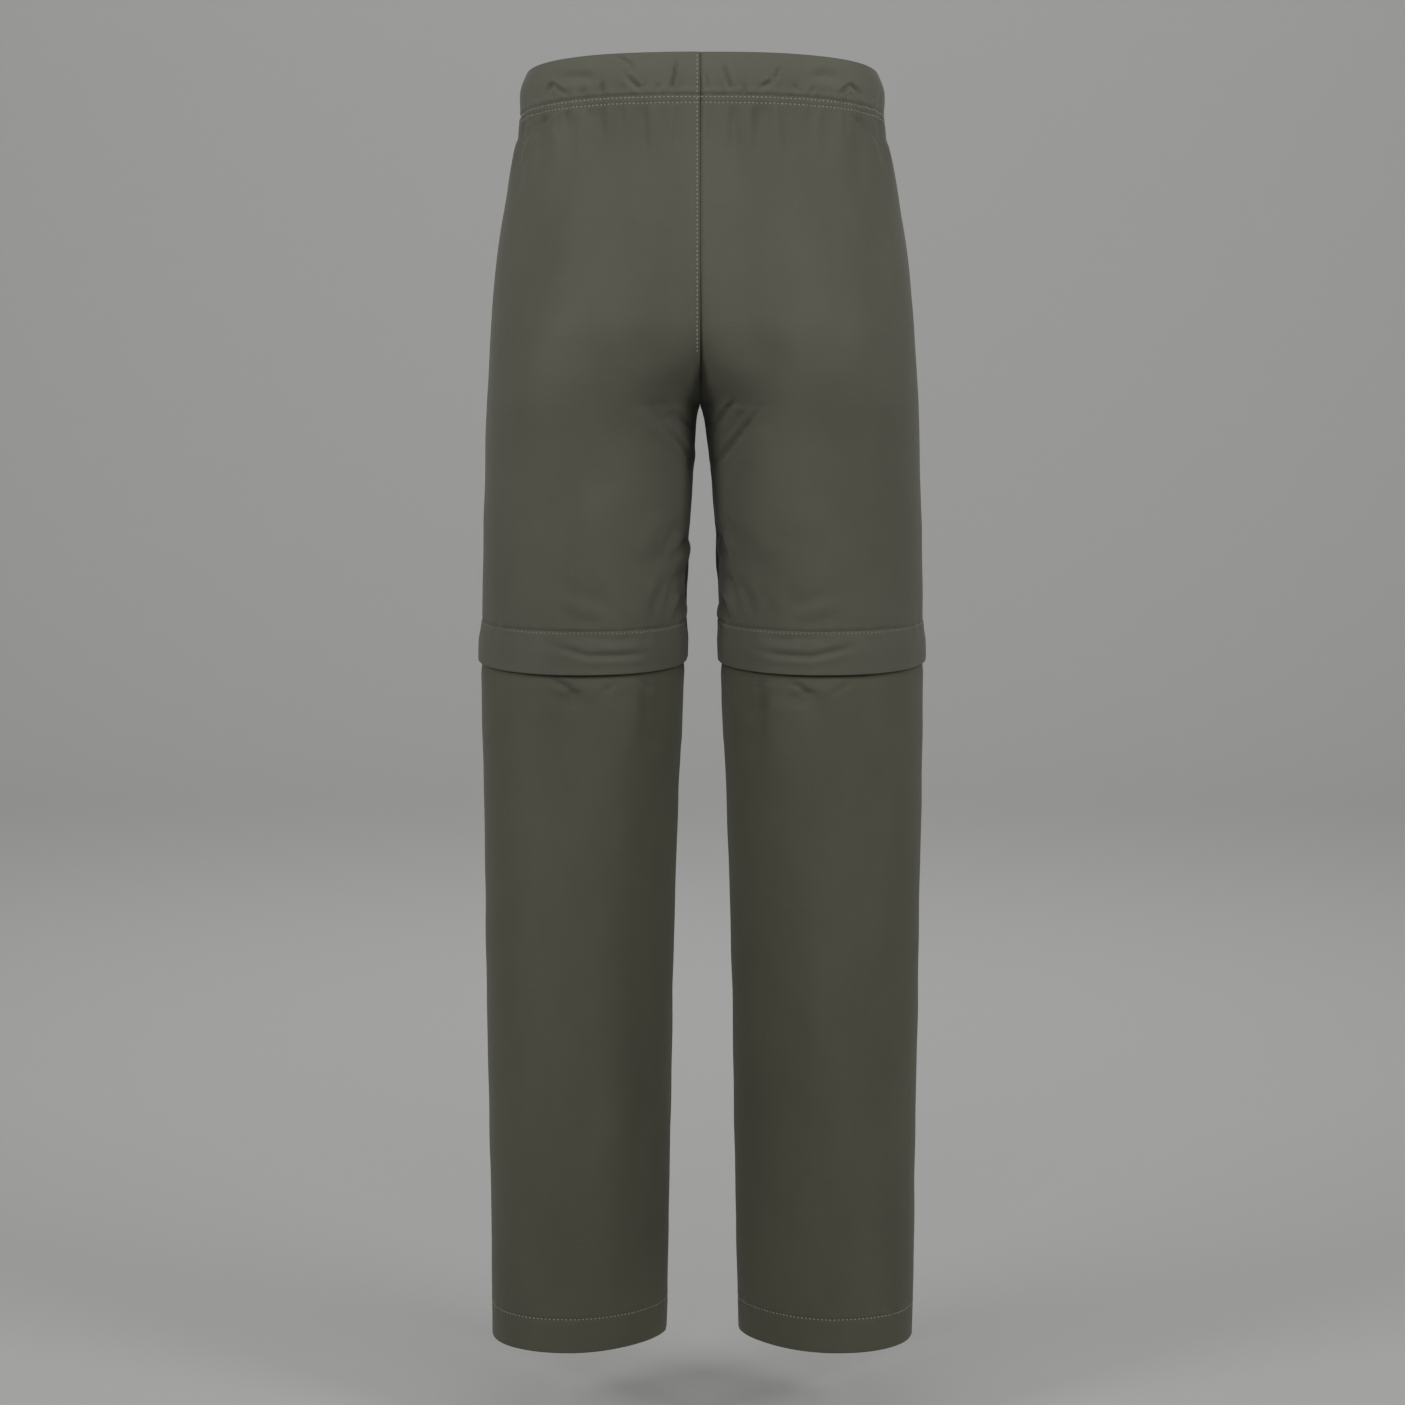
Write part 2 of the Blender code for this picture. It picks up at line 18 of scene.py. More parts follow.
import bpy
import numpy as np
from numpy.typing import NDArray
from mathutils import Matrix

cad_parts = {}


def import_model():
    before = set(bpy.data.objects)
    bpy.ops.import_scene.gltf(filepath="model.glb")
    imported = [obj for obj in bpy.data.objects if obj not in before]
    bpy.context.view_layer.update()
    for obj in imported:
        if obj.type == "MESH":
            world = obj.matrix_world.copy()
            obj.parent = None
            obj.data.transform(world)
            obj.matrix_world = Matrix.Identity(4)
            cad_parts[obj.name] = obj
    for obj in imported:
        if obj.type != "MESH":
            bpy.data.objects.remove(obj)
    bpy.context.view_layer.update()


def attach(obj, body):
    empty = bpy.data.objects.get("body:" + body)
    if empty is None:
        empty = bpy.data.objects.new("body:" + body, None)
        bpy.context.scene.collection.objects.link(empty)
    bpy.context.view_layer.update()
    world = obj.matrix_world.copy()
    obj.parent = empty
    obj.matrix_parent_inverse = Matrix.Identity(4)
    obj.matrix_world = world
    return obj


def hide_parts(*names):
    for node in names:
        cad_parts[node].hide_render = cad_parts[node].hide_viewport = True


Array = NDArray[np.float64]
Faces = NDArray[np.int64]
Vector = tuple[float, float, float]
Socket = bpy.types.NodeSocket
Material = bpy.types.Material
Object = bpy.types.Object
LOG = logging.getLogger("trousers")
MM = 0.001
UV_NAME = "Cloth"


class Named(Enum):
    """A choice whose members' words are parts of the pieces' names."""

    @property
    def word(self) -> str:
        """The member's name in small letters."""
        return self.name.lower()


class Side(Named):
    """A side of the garment, with the sign of its X."""

    LEFT = 1
    RIGHT = -1


class Face(Named):
    """The back or the front of a side, with the share at its centre or inseam edge."""

    BACK = 0
    FRONT = 1


class Width(NamedTuple):
    """The form's reach from the centre plane to the outer side and, on a leg, to the inner side."""

    level: float
    outer: float
    inner: float


class Depth(NamedTuple):
    """The form's depth behind and before, its squareness, the slope of its rows and its lean at the back."""

    level: float
    back: float
    front: float
    power: float
    slope: float
    lean: float


class Gather(NamedTuple):
    """A soft vertical trough below the waist: its place round from the centre seam, size and reach."""

    place: float
    width: float
    depth: float
    reach: float


class Fold(NamedTuple):
    """A trough along a line between two places, each a distance from the centre plane and a height."""

    x_from: float
    z_from: float
    x_to: float
    z_to: float
    width: float
    depth: float


class Crease(NamedTuple):
    """A crease through a few places, each a distance from the centre plane and a height; tapered ends."""

    points: tuple[tuple[float, float], ...]
    width: float
    depth: float


# Levels of the seams and edges, from the waist down
BAND_TOP = 19.0
BAND_SEAM = -14.0
CROTCH_LEVEL = -237.0
KNEE_SEAM = -406.2
CHAIN_LEVEL = -418.0
ZIP_END = -430.0
FLAP_END = -438.8
HEM = -984.5
HEM_DEPTH = 26.0

# How the two legs join above the crotch: the height it takes, and how the overlap and the cut fall off
CLEFT_HEIGHT = 110.0
CLEFT_RISE_POWER = 1.2
CLEFT_POWER = 1.6
CUT_RISE_POWER = 1.6
CUT_POWER = 4.2

# The lower leg's inner half is less square: where that starts, how long it takes, and by how much
FACET_START = -470.0
FACET_RUN = 90.0
FACET_DROP = 0.4

# The cloth's thickness, the tape's place under the form, and half the gap between neighbours, which is
# below zero so that they overlap by a hair and no light shows between them
CLOTH_WALL = 0.7
TAPE_INSET = -2.2
HALF_GAP = -0.02

# The rows of stitches, as levels or as a distance from the centre seam, and the slider's place round the leg
WAIST_ROWS = (BAND_SEAM - 1.5, BAND_SEAM - 5.8)
FLAP_ROW = KNEE_SEAM - 1.6
HEM_ROW = HEM + HEM_DEPTH
CENTRE_ROW = 2.3
SLIDER_SHARE = 0.63

# Where rows of stitches pucker the cloth: the row's level, how far the puckers run, and their depth
PUCKERS = (
    (BAND_SEAM + 3.5, 7.5, 0.34),
    (BAND_SEAM - 8.5, 8.0, 0.40),
    (KNEE_SEAM - 2.0, 7.0, 0.24),
    (HEM_ROW, 7.0, 0.20),
)

# Bells of the distance to a long seam, each a height inwards and a width: at the outseam, at the leg's
# inseam, at the centre seam above the crotch, and the groove that the centre seam lies in
OUTSEAM_BELLS = ((0.7, 1.3),)
INSEAM_BELLS = ((0.8, 1.3), (0.3, 4.0))
CENTRE_BELLS = {Side.LEFT: ((1.3, 0.8), (-0.4, 4.5)), Side.RIGHT: ((1.4, 1.7), (0.2, 5.0))}
GROOVE_BELLS = {Side.LEFT: ((3.6, 7.0), (1.4, 18.0)), Side.RIGHT: ((3.6, 7.0), (2.8, 18.0))}

# The groove deepens downwards from its top and fades out just above the crotch
GROOVE_TOP = -95.0
GROOVE_FADE = 26.0

# The centre seam hangs a little to the wearer's left; this spreads out beside it and ends below the crotch
DRIFT = 1.8
DRIFT_SPREAD = 26.0
DRIFT_END = -330.0

WIDTHS = (
    Width(-986, 169.2, 29.2),
    Width(-962, 169.9, 28.4),
    Width(-880, 171.0, 26.6),
    Width(-797, 172.1, 25.4),
    Width(-716, 173.3, 24.2),
    Width(-635, 173.9, 22.1),
    Width(-553, 175.0, 19.2),
    Width(-500, 175.8, 17.0),
    Width(-450, 176.3, 14.6),
    Width(-405, 175.4, 13.0),
    Width(-377, 174.5, 12.2),
    Width(-345, 173.7, 10.6),
    Width(-313, 173.1, 8.5),
    Width(-281, 172.3, 6.3),
    Width(-265, 171.8, 5.0),
    Width(-250, 171.3, 3.3),
    Width(-243, 171.0, 1.8),
    Width(-237, 170.8, 0.15),
    Width(-202, 168.6, 0.15),
    Width(-170, 166.7, 0.15),
    Width(-139, 164.2, 0.15),
    Width(-107, 160.2, 0.15),
    Width(-76, 155.0, 0.15),
    Width(-45, 149.3, 0.15),
    Width(-28, 144.9, 0.15),
    Width(-14, 143.3, 0.15),
    Width(4, 142.2, 0.15),
    Width(19, 138.6, 0.15),
)

DEPTHS = (
    Depth(-986, 69, 63, 2.15, -0.060, 0.085),
    Depth(-930, 70, 64, 2.15, -0.020, 0.055),
    Depth(-860, 73, 66, 2.15, 0.000, 0.000),
    Depth(-720, 79, 70, 2.15, 0.000, 0.000),
    Depth(-600, 82, 72, 2.15, 0.000, 0.000),
    Depth(-530, 81, 73, 2.20, 0.000, 0.000),
    Depth(-440, 82, 77, 2.20, -0.085, 0.000),
    Depth(-405, 86, 81, 2.25, -0.063, 0.000),
    Depth(-340, 93.5, 91, 2.45, 0.000, 0.000),
    Depth(-281, 100, 99, 2.60, 0.000, 0.000),
    Depth(-260, 103.5, 102, 2.65, 0.000, 0.000),
    Depth(-237, 109, 104.5, 2.70, 0.000, 0.000),
    Depth(-202, 117, 106.5, 2.60, 0.000, 0.000),
    Depth(-170, 121.5, 107, 2.50, 0.000, 0.000),
    Depth(-139, 120, 106, 2.45, 0.010, 0.000),
    Depth(-107, 114.5, 104.5, 2.40, 0.040, 0.000),
    Depth(-76, 107.5, 102, 2.40, 0.085, 0.000),
    Depth(-45, 101, 99.5, 2.45, 0.130, 0.000),
    Depth(-14, 97, 97, 2.50, 0.158, 0.000),
    Depth(19, 95, 94, 2.50, 0.160, 0.000),
)

GATHERS: dict[tuple[Side, Face], tuple[Gather, ...]] = {
    (Side.LEFT, Face.BACK): (
        Gather(18, 5.5, 1.2, 46),
        Gather(30, 5.0, 1.5, 35),
        Gather(46, 6.5, 1.8, 59),
        Gather(64, 5.5, 1.0, 30),
        Gather(84, 6.5, 1.4, 49),
        Gather(106, 6.0, 1.2, 32),
        Gather(132, 7.0, 1.8, 54),
        Gather(164, 7.0, 1.4, 62),
    ),
    (Side.RIGHT, Face.BACK): (
        Gather(11, 5.0, 1.0, 27),
        Gather(25, 5.5, 1.7, 51),
        Gather(45, 6.5, 1.8, 43),
        Gather(67, 6.0, 1.3, 57),
        Gather(82, 5.5, 1.2, 32),
        Gather(99, 6.0, 1.1, 40),
        Gather(130, 7.0, 1.7, 51),
        Gather(160, 7.5, 1.5, 65),
    ),
    (Side.LEFT, Face.FRONT): (
        Gather(14, 5.5, 1.3, 38),
        Gather(33, 6.0, 1.6, 54),
        Gather(55, 6.0, 1.4, 35),
        Gather(76, 6.5, 1.7, 51),
        Gather(101, 6.0, 1.2, 32),
        Gather(128, 7.0, 1.7, 57),
        Gather(160, 7.0, 1.4, 46),
    ),
    (Side.RIGHT, Face.FRONT): (
        Gather(17, 5.5, 1.4, 43),
        Gather(36, 6.0, 1.5, 35),
        Gather(58, 6.5, 1.6, 57),
        Gather(81, 6.0, 1.3, 38),
        Gather(104, 6.5, 1.4, 49),
        Gather(131, 7.0, 1.6, 40),
        Gather(162, 7.0, 1.4, 59),
    ),
}

# The larger folds, which the solids have too
FOLDS: dict[tuple[Side, Face], tuple[Fold, ...]] = {
    (Side.LEFT, Face.BACK): (
        Fold(120, -12, 137, -21, 5.0, 1.2),
        Fold(137, -21, 142, -34, 6.0, 1.0),
        Fold(40, -231, 26, -252, 7.0, 1.3),
        Fold(26, -240, 15, -256, 6.0, 1.2),
        Fold(24, -262, 17, -288, 6.0, 1.2),
        Fold(13, -325, 34, -367, 9.0, 2.8),
        Fold(12, -358, 23, -393, 9.0, 3.6),
        Fold(40, -462, 38, -513, 9.0, 2.4),
        Fold(106, -458, 99, -473, 8.0, 2.0),
    ),
    (Side.RIGHT, Face.BACK): (
        Fold(120, -11, 137, -23, 5.0, 1.2),
        Fold(137, -23, 142, -36, 6.0, 1.0),
        Fold(29, -238, 17, -252, 6.0, 1.2),
        Fold(39, -244, 18, -280, 7.0, 1.5),
        Fold(14, -325, 36, -367, 9.0, 2.6),
        Fold(12, -346, 25, -393, 9.0, 3.4),
        Fold(41, -462, 39, -515, 9.0, 2.4),
        Fold(75, -458, 82, -472, 8.0, 2.0),
    ),
    (Side.LEFT, Face.FRONT): (
        Fold(124, -44, 138, -56, 6.0, 1.2),
        Fold(44, -232, 20, -253, 8.0, 1.6),
        Fold(28, -252, 17, -282, 7.0, 1.4),
        Fold(14, -334, 38, -372, 9.0, 2.6),
        Fold(120, -388, 92, -396, 9.0, 2.2),
        Fold(46, -462, 40, -506, 9.0, 2.2),
    ),
    (Side.RIGHT, Face.FRONT): (
        Fold(122, -46, 137, -60, 6.0, 1.2),
        Fold(34, -232, 18, -250, 7.0, 1.4),
        Fold(40, -248, 18, -278, 7.0, 1.5),
        Fold(13, -328, 34, -368, 9.0, 2.8),
        Fold(70, -386, 100, -395, 9.0, 2.0),
        Fold(44, -462, 41, -510, 9.0, 2.2),
    ),
}

# Fine creases, which only the visible cloth has
CREASES: dict[tuple[Side, Face], tuple[Crease, ...]] = {
    (Side.LEFT, Face.BACK): (
        # Waistband
        Crease(((18.6, 30), (20.5, 16), (23.6, 3.0)), 1.5, 1.66),
        Crease(((67, 31), (55, 24), (54, 17)), 1.8, 1.22),
        Crease(((59, 17), (52, 9), (47, 5)), 2, 1.75),
        Crease(((119.5, 4), (115.5, 10.5), (104, 2.0)), 1.5, 1.75),
        Crease(((111, 14), (96, 16), (80, 14)), 4, 1.4),
        Crease(((33, 10), (34, 3)), 1.6, 1.05),
        Crease(((76, 11), (78, 3)), 2, 1.05),
        Crease(((90, 8), (93, 2)), 1.6, 0.88),
        # Gathers under the waist rows
        Crease(((18.5, -5), (18, -42)), 2.7, 0.87),
        Crease(((27.8, -5), (28.5, -34)), 2.7, 0.76),
        Crease(((44.8, -5), (43.5, -48)), 3, 0.87),
        Crease(((61, -5), (62, -22)), 2.4, 0.55),
        Crease(((77, -5), (76, -36)), 2.8, 0.87),
        Crease(((90, -6), (89, -20)), 2.2, 0.55),
        Crease(((97, -7), (97.5, -24)), 2.2, 0.55),
        Crease(((105, -9), (104, -21)), 2.2, 0.55),
        Crease(((113, -11), (110, -31)), 2.5, 0.65),
        # Side
        Crease(((112, -12), (122, -17), (133, -24), (141, -36), (145, -52)), 2.2, 1.3),
        Crease(((104, -12), (118, -22), (128, -34)), 2.2, 0.8),
        Crease(((127, -30), (139, -48), (147, -74)), 3.6, 1.0),
        # Crotch
        Crease(((43, -231), (37, -241), (30, -254), (22, -266)), 2.0, 1.0),
        Crease(((18, -243), (12, -249), (7, -255)), 1.8, 1.3),
        Crease(((26, -256), (15, -268), (10.5, -277), (10, -292)), 2.2, 1.8),
        Crease(((31, -247), (22, -262)), 2, 0.8),
        Crease(((17, -324), (24, -338), (31, -352)), 2.4, 1.4),
        Crease(((10, -338), (15, -348), (21, -359)), 2.6, 2.7),
        # Above the knee
        Crease(((17, -366), (22, -378), (27, -393)), 2.4, 3.2),
        Crease(((13, -386), (18, -398), (23, -409)), 2.6, 3.0),
        Crease(((30, -372), (36, -388), (38, -400)), 3, 1.4),
        Crease(((112, -386), (92, -394), (74, -401)), 5, -0.9),
        Crease(((70, -378), (60, -399)), 5, -0.5),
        # Flap and below
        Crease(((120, -421), (90, -430.5), (62, -430.5), (40, -429)), 2.6, 1.22),
        Crease(((108, -414), (70, -418), (48, -417)), 3, 0.61),
        Crease(((117, -449), (105, -456), (97, -464)), 2.4, 1.93),
        Crease(((69, -452), (77, -461)), 2, 1.4),
        Crease(((46, -450), (41, -459)), 2, 1.93),
        Crease(((47, -458), (45, -474), (43, -495)), 3, 1.75),
        Crease(((88, -452), (84, -474)), 5, -0.5),
    ),
    (Side.RIGHT, Face.BACK): (
        Crease(((16.5, 27), (19.5, 14), (23.5, 2.5)), 1.6, 1.66),
        Crease(((3.4, 18), (6.5, 3.0)), 1.3, 1.05),
        Crease(((58.5, 22), (56.4, 13)), 1.8, 1.22),
        Crease(((53, 12), (45, 6)), 1.9, 1.57),
        Crease(((104, 2), (113.6, 10), (123, 3)), 1.5, 1.75),
        Crease(((81, 15), (95, 17), (108, 14)), 4, 1.4),
        Crease(((33, 8), (32, 2)), 1.5, 0.88),
        Crease(((70, 10), (73, 3)), 1.9, 1.05),
        Crease(((86, 9), (84, 2)), 1.6, 0.88),
        Crease(((7, -5), (8, -38)), 2.2, 0.65),
        Crease(((24, -5), (25.5, -44)), 2.8, 0.97),
        Crease(((42, -5), (42, -34)), 2.8, 0.87),
        Crease(((51, -5), (50, -20)), 2.4, 0.55),
        Crease(((62.6, -5), (64, -45)), 2.8, 0.87),
        Crease(((73.4, -5), (72.5, -28)), 2.5, 0.76),
        Crease(((85, -6), (86, -22)), 2.2, 0.55),
        Crease(((94, -7), (93, -26)), 2.2, 0.55),
        Crease(((103, -8), (105, -22)), 2.2, 0.55),
        Crease(((112, -10), (110, -29)), 2.5, 0.65),
        Crease(((111, -12), (121, -17), (131, -24), (140, -37), (145, -56)), 2.2, 1.3),
        Crease(((27, -231), (19, -241), (10.5, -252)), 1.9, 1.6),
        Crease(((45, -236), (31, -255), (17, -275), (8, -285)), 2.1, 2.1),
        Crease(((36, -236), (28, -247), (19, -262)), 2, 1.3),
        Crease(((18, -321), (21, -333)), 2.2, 1.75),
        Crease(((10, -335), (17, -357)), 2.6, 2.7),
        Crease(((16, -368), (21, -380), (27, -394)), 2.4, 3.1),
        Crease(((13, -387), (17, -398), (22, -409)), 2.6, 3.0),
        Crease(((31, -374), (37, -390), (38, -401)), 3, 1.4),
        Crease(((106, -388), (88, -395), (70, -401)), 5, -0.9),
        Crease(((56, -377), (62, -398)), 5, -0.5),
        Crease(((122, -422), (86, -431), (60, -430), (43, -427)), 2.6, 1.22),
        Crease(((100, -415), (62, -418), (50, -416)), 3, 0.61),
        Crease(((69, -451), (78, -457), (87, -463)), 2.2, 1.93),
        Crease(((113, -451), (103, -462)), 2, 1.4),
        Crease(((47, -450), (42, -459)), 2, 1.93),
        Crease(((48, -458), (45, -476), (43, -498)), 3, 1.75),
        Crease(((95, -452), (98, -476)), 5, -0.5),
    ),
    (Side.LEFT, Face.FRONT): (
        Crease(((21, 4), (25, -12)), 1.6, 1.57),
        Crease(((50, 7), (46, -11)), 1.8, 1.57),
        Crease(((88, 8), (81, -10)), 2, 1.4),
        Crease(((112, -2), (118, 4), (124, -6)), 1.6, 1.57),
        Crease(((16, -38), (17, -62)), 1.8, 1.4),
        Crease(((34, -38), (33, -68)), 2, 1.57),
        Crease(((56, -37), (57, -54)), 1.8, 1.22),
        Crease(((77, -36), (75, -62)), 2, 1.4),
        Crease(((99, -33), (98, -46)), 1.6, 1.05),
        Crease(((116, -29), (118, -44)), 1.7, 1.22),
        Crease(((42, -234), (33, -243), (24, -253)), 2, 2.27),
        Crease(((27, -254), (17, -268), (11, -282)), 2.4, 2.62),
        Crease(((16, -336), (26, -352), (35, -368)), 2.4, 2.1),
        Crease(((116, -388), (104, -393), (92, -396)), 2.2, 1.75),
        Crease(((108, -429), (84, -424), (60, -425)), 2.8, 1.05),
        Crease(((98, -444), (90, -450), (83, -458)), 2.2, 1.75),
        Crease(((48, -446), (44, -462), (43, -482)), 2.8, 1.75),
    ),
    (Side.RIGHT, Face.FRONT): (
        Crease(((14, 3), (17, -13)), 1.6, 1.4),
        Crease(((43, 5), (38, -12)), 1.8, 1.57),
        Crease(((73, 7), (79, -9)), 1.9, 1.4),
        Crease(((108, -4), (114, 3), (121, -7)), 1.6, 1.57),
        Crease(((19, -38), (18, -66)), 1.8, 1.57),
        Crease(((37, -38), (38, -58)), 1.8, 1.22),
        Crease(((59, -37), (58, -66)), 2, 1.57),
        Crease(((80, -35), (82, -52)), 1.8, 1.22),
        Crease(((102, -32), (100, -50)), 1.8, 1.4),
        Crease(((118, -28), (120, -42)), 1.6, 1.05),
        Crease(((34, -233), (24, -241), (14, -249)), 2, 2.27),
        Crease(((38, -249), (25, -264), (13, -277)), 2.2, 2.62),
        Crease(((16, -331), (24, -348), (33, -363)), 2.4, 2.1),
        Crease(((73, -386), (84, -391), (97, -394)), 2.2, 1.75),
        Crease(((58, -427), (84, -425), (112, -429)), 2.8, 1.05),
        Crease(((79, -445), (86, -452), (95, -458)), 2.2, 1.75),
        Crease(((47, -446), (44, -463), (43, -484)), 2.8, 1.75),
    ),
}

# Broad, shallow changes of plane in the cloth; a negative depth is a ridge
PLANES: dict[tuple[Side, Face], tuple[Fold, ...]] = {
    (Side.LEFT, Face.BACK): (
        Fold(90, -470, 84, -790, 17.0, -1.5),
        Fold(82, -720, 78, -975, 18.0, -1.3),
        Fold(118, -560, 122, -900, 15.0, 0.9),
        Fold(43, -500, 48, -960, 14.0, 1.7),
        Fold(128, -300, 120, -400, 22.0, 1.62),
        Fold(74, -290, 92, -392, 20.0, -1.62),
        Fold(96, -60, 116, -170, 20.0, -1.62),
        Fold(74, -90, 84, -232, 16.0, 1.62),
        Fold(41, -70, 38, -205, 15.0, -1.8),
    ),
    (Side.RIGHT, Face.BACK): (
        Fold(106, -476, 102, -760, 18.0, -1.5),
        Fold(98, -700, 108, -975, 17.0, -1.3),
        Fold(78, -540, 72, -880, 13.0, 0.9),
        Fold(52, -510, 52, -960, 15.0, 1.7),
        Fold(132, -310, 122, -400, 22.0, 1.62),
        Fold(78, -300, 90, -392, 20.0, -1.62),
        Fold(100, -64, 118, -180, 20.0, -1.62),
        Fold(24, -96, 30, -170, 9.0, 1.08),
        Fold(50, -80, 62, -215, 17.0, -1.98),
    ),
    (Side.LEFT, Face.FRONT): (
        Fold(98, -280, 100, -396, 24.0, -1.98),
        Fold(100, -470, 100, -930, 22.0, -2.16),
        Fold(62, -480, 60, -880, 18.0, 1.62),
        Fold(84, -70, 104, -190, 22.0, 1.62),
    ),
    (Side.RIGHT, Face.FRONT): (
        Fold(96, -280, 98, -396, 24.0, -1.98),
        Fold(98, -480, 102, -930, 22.0, -2.16),
        Fold(60, -490, 58, -870, 18.0, 1.62),
        Fold(80, -74, 98, -196, 22.0, 1.62),
    ),
}


def read(table: Sequence[NamedTuple], name: str, levels: Array) -> Array:
    """Read one column of a table at many levels.

    The value is a cubic through the table's rows. Its slope at a row is the harmonic mean of the slopes on
    both sides, or zero where they differ in sign, so it never overshoots.

    Args:
        table: Rows from the lowest level to the highest.
        name: The column.
        levels: Where to read it.

    Returns:
        The column's value at each level.
    """
    knots = np.array([row.level for row in table], float)
    values = np.array([getattr(row, name) for row in table], float)
    steps = np.diff(knots)
    rates = np.diff(values) / steps
    below, above = rates[:-1], rates[1:]
    same_way = below * above > 0
    total = np.where(same_way, below + above, 1.0)
    slopes = np.concatenate(([rates[0]], np.where(same_way, 2.0 * below * above / total, 0.0), [rates[-1]]))
    row = np.clip(np.searchsorted(knots, levels) - 1, 0, len(steps) - 1)
    t = (levels - knots[row]) / steps[row]
    return ((2 * t**3 - 3 * t**2 + 1) * values[row] + (t**3 - 2 * t**2 + t) * steps[row] * slopes[row]
            + (3 * t**2 - 2 * t**3) * values[row + 1] + (t**3 - t**2) * steps[row] * slopes[row + 1])


def ease(t: Array) -> Array:
    """A smooth step: three t squared minus two t cubed, with t held between 0 and 1."""
    t = np.clip(t, 0.0, 1.0)
    return t * t * (3.0 - 2.0 * t)


def bell(distance: Array, width: float) -> Array:
    """One at a line, falling off on both sides of it as a Gaussian of the distance over the width."""
    return np.exp(-((distance / width) ** 2))


def bells(distance: Array, table: Sequence[tuple[float, float]]) -> Array:
    """The sum of some bells, each with its height and width."""
    return sum(height * bell(distance, width) for height, width in table)


def trough(distance: Array, width: float) -> Array:
    """A bell across a line, less 0.4 of a bell two widths to each side, which raises low ridges there."""
    return bell(distance, width) - 0.4 * bell(np.abs(distance) - 2 * width, width)


def unit(vectors: Array) -> Array:
    """The same directions, each with a length of one."""
    return vectors / np.linalg.norm(vectors, axis=-1, keepdims=True)


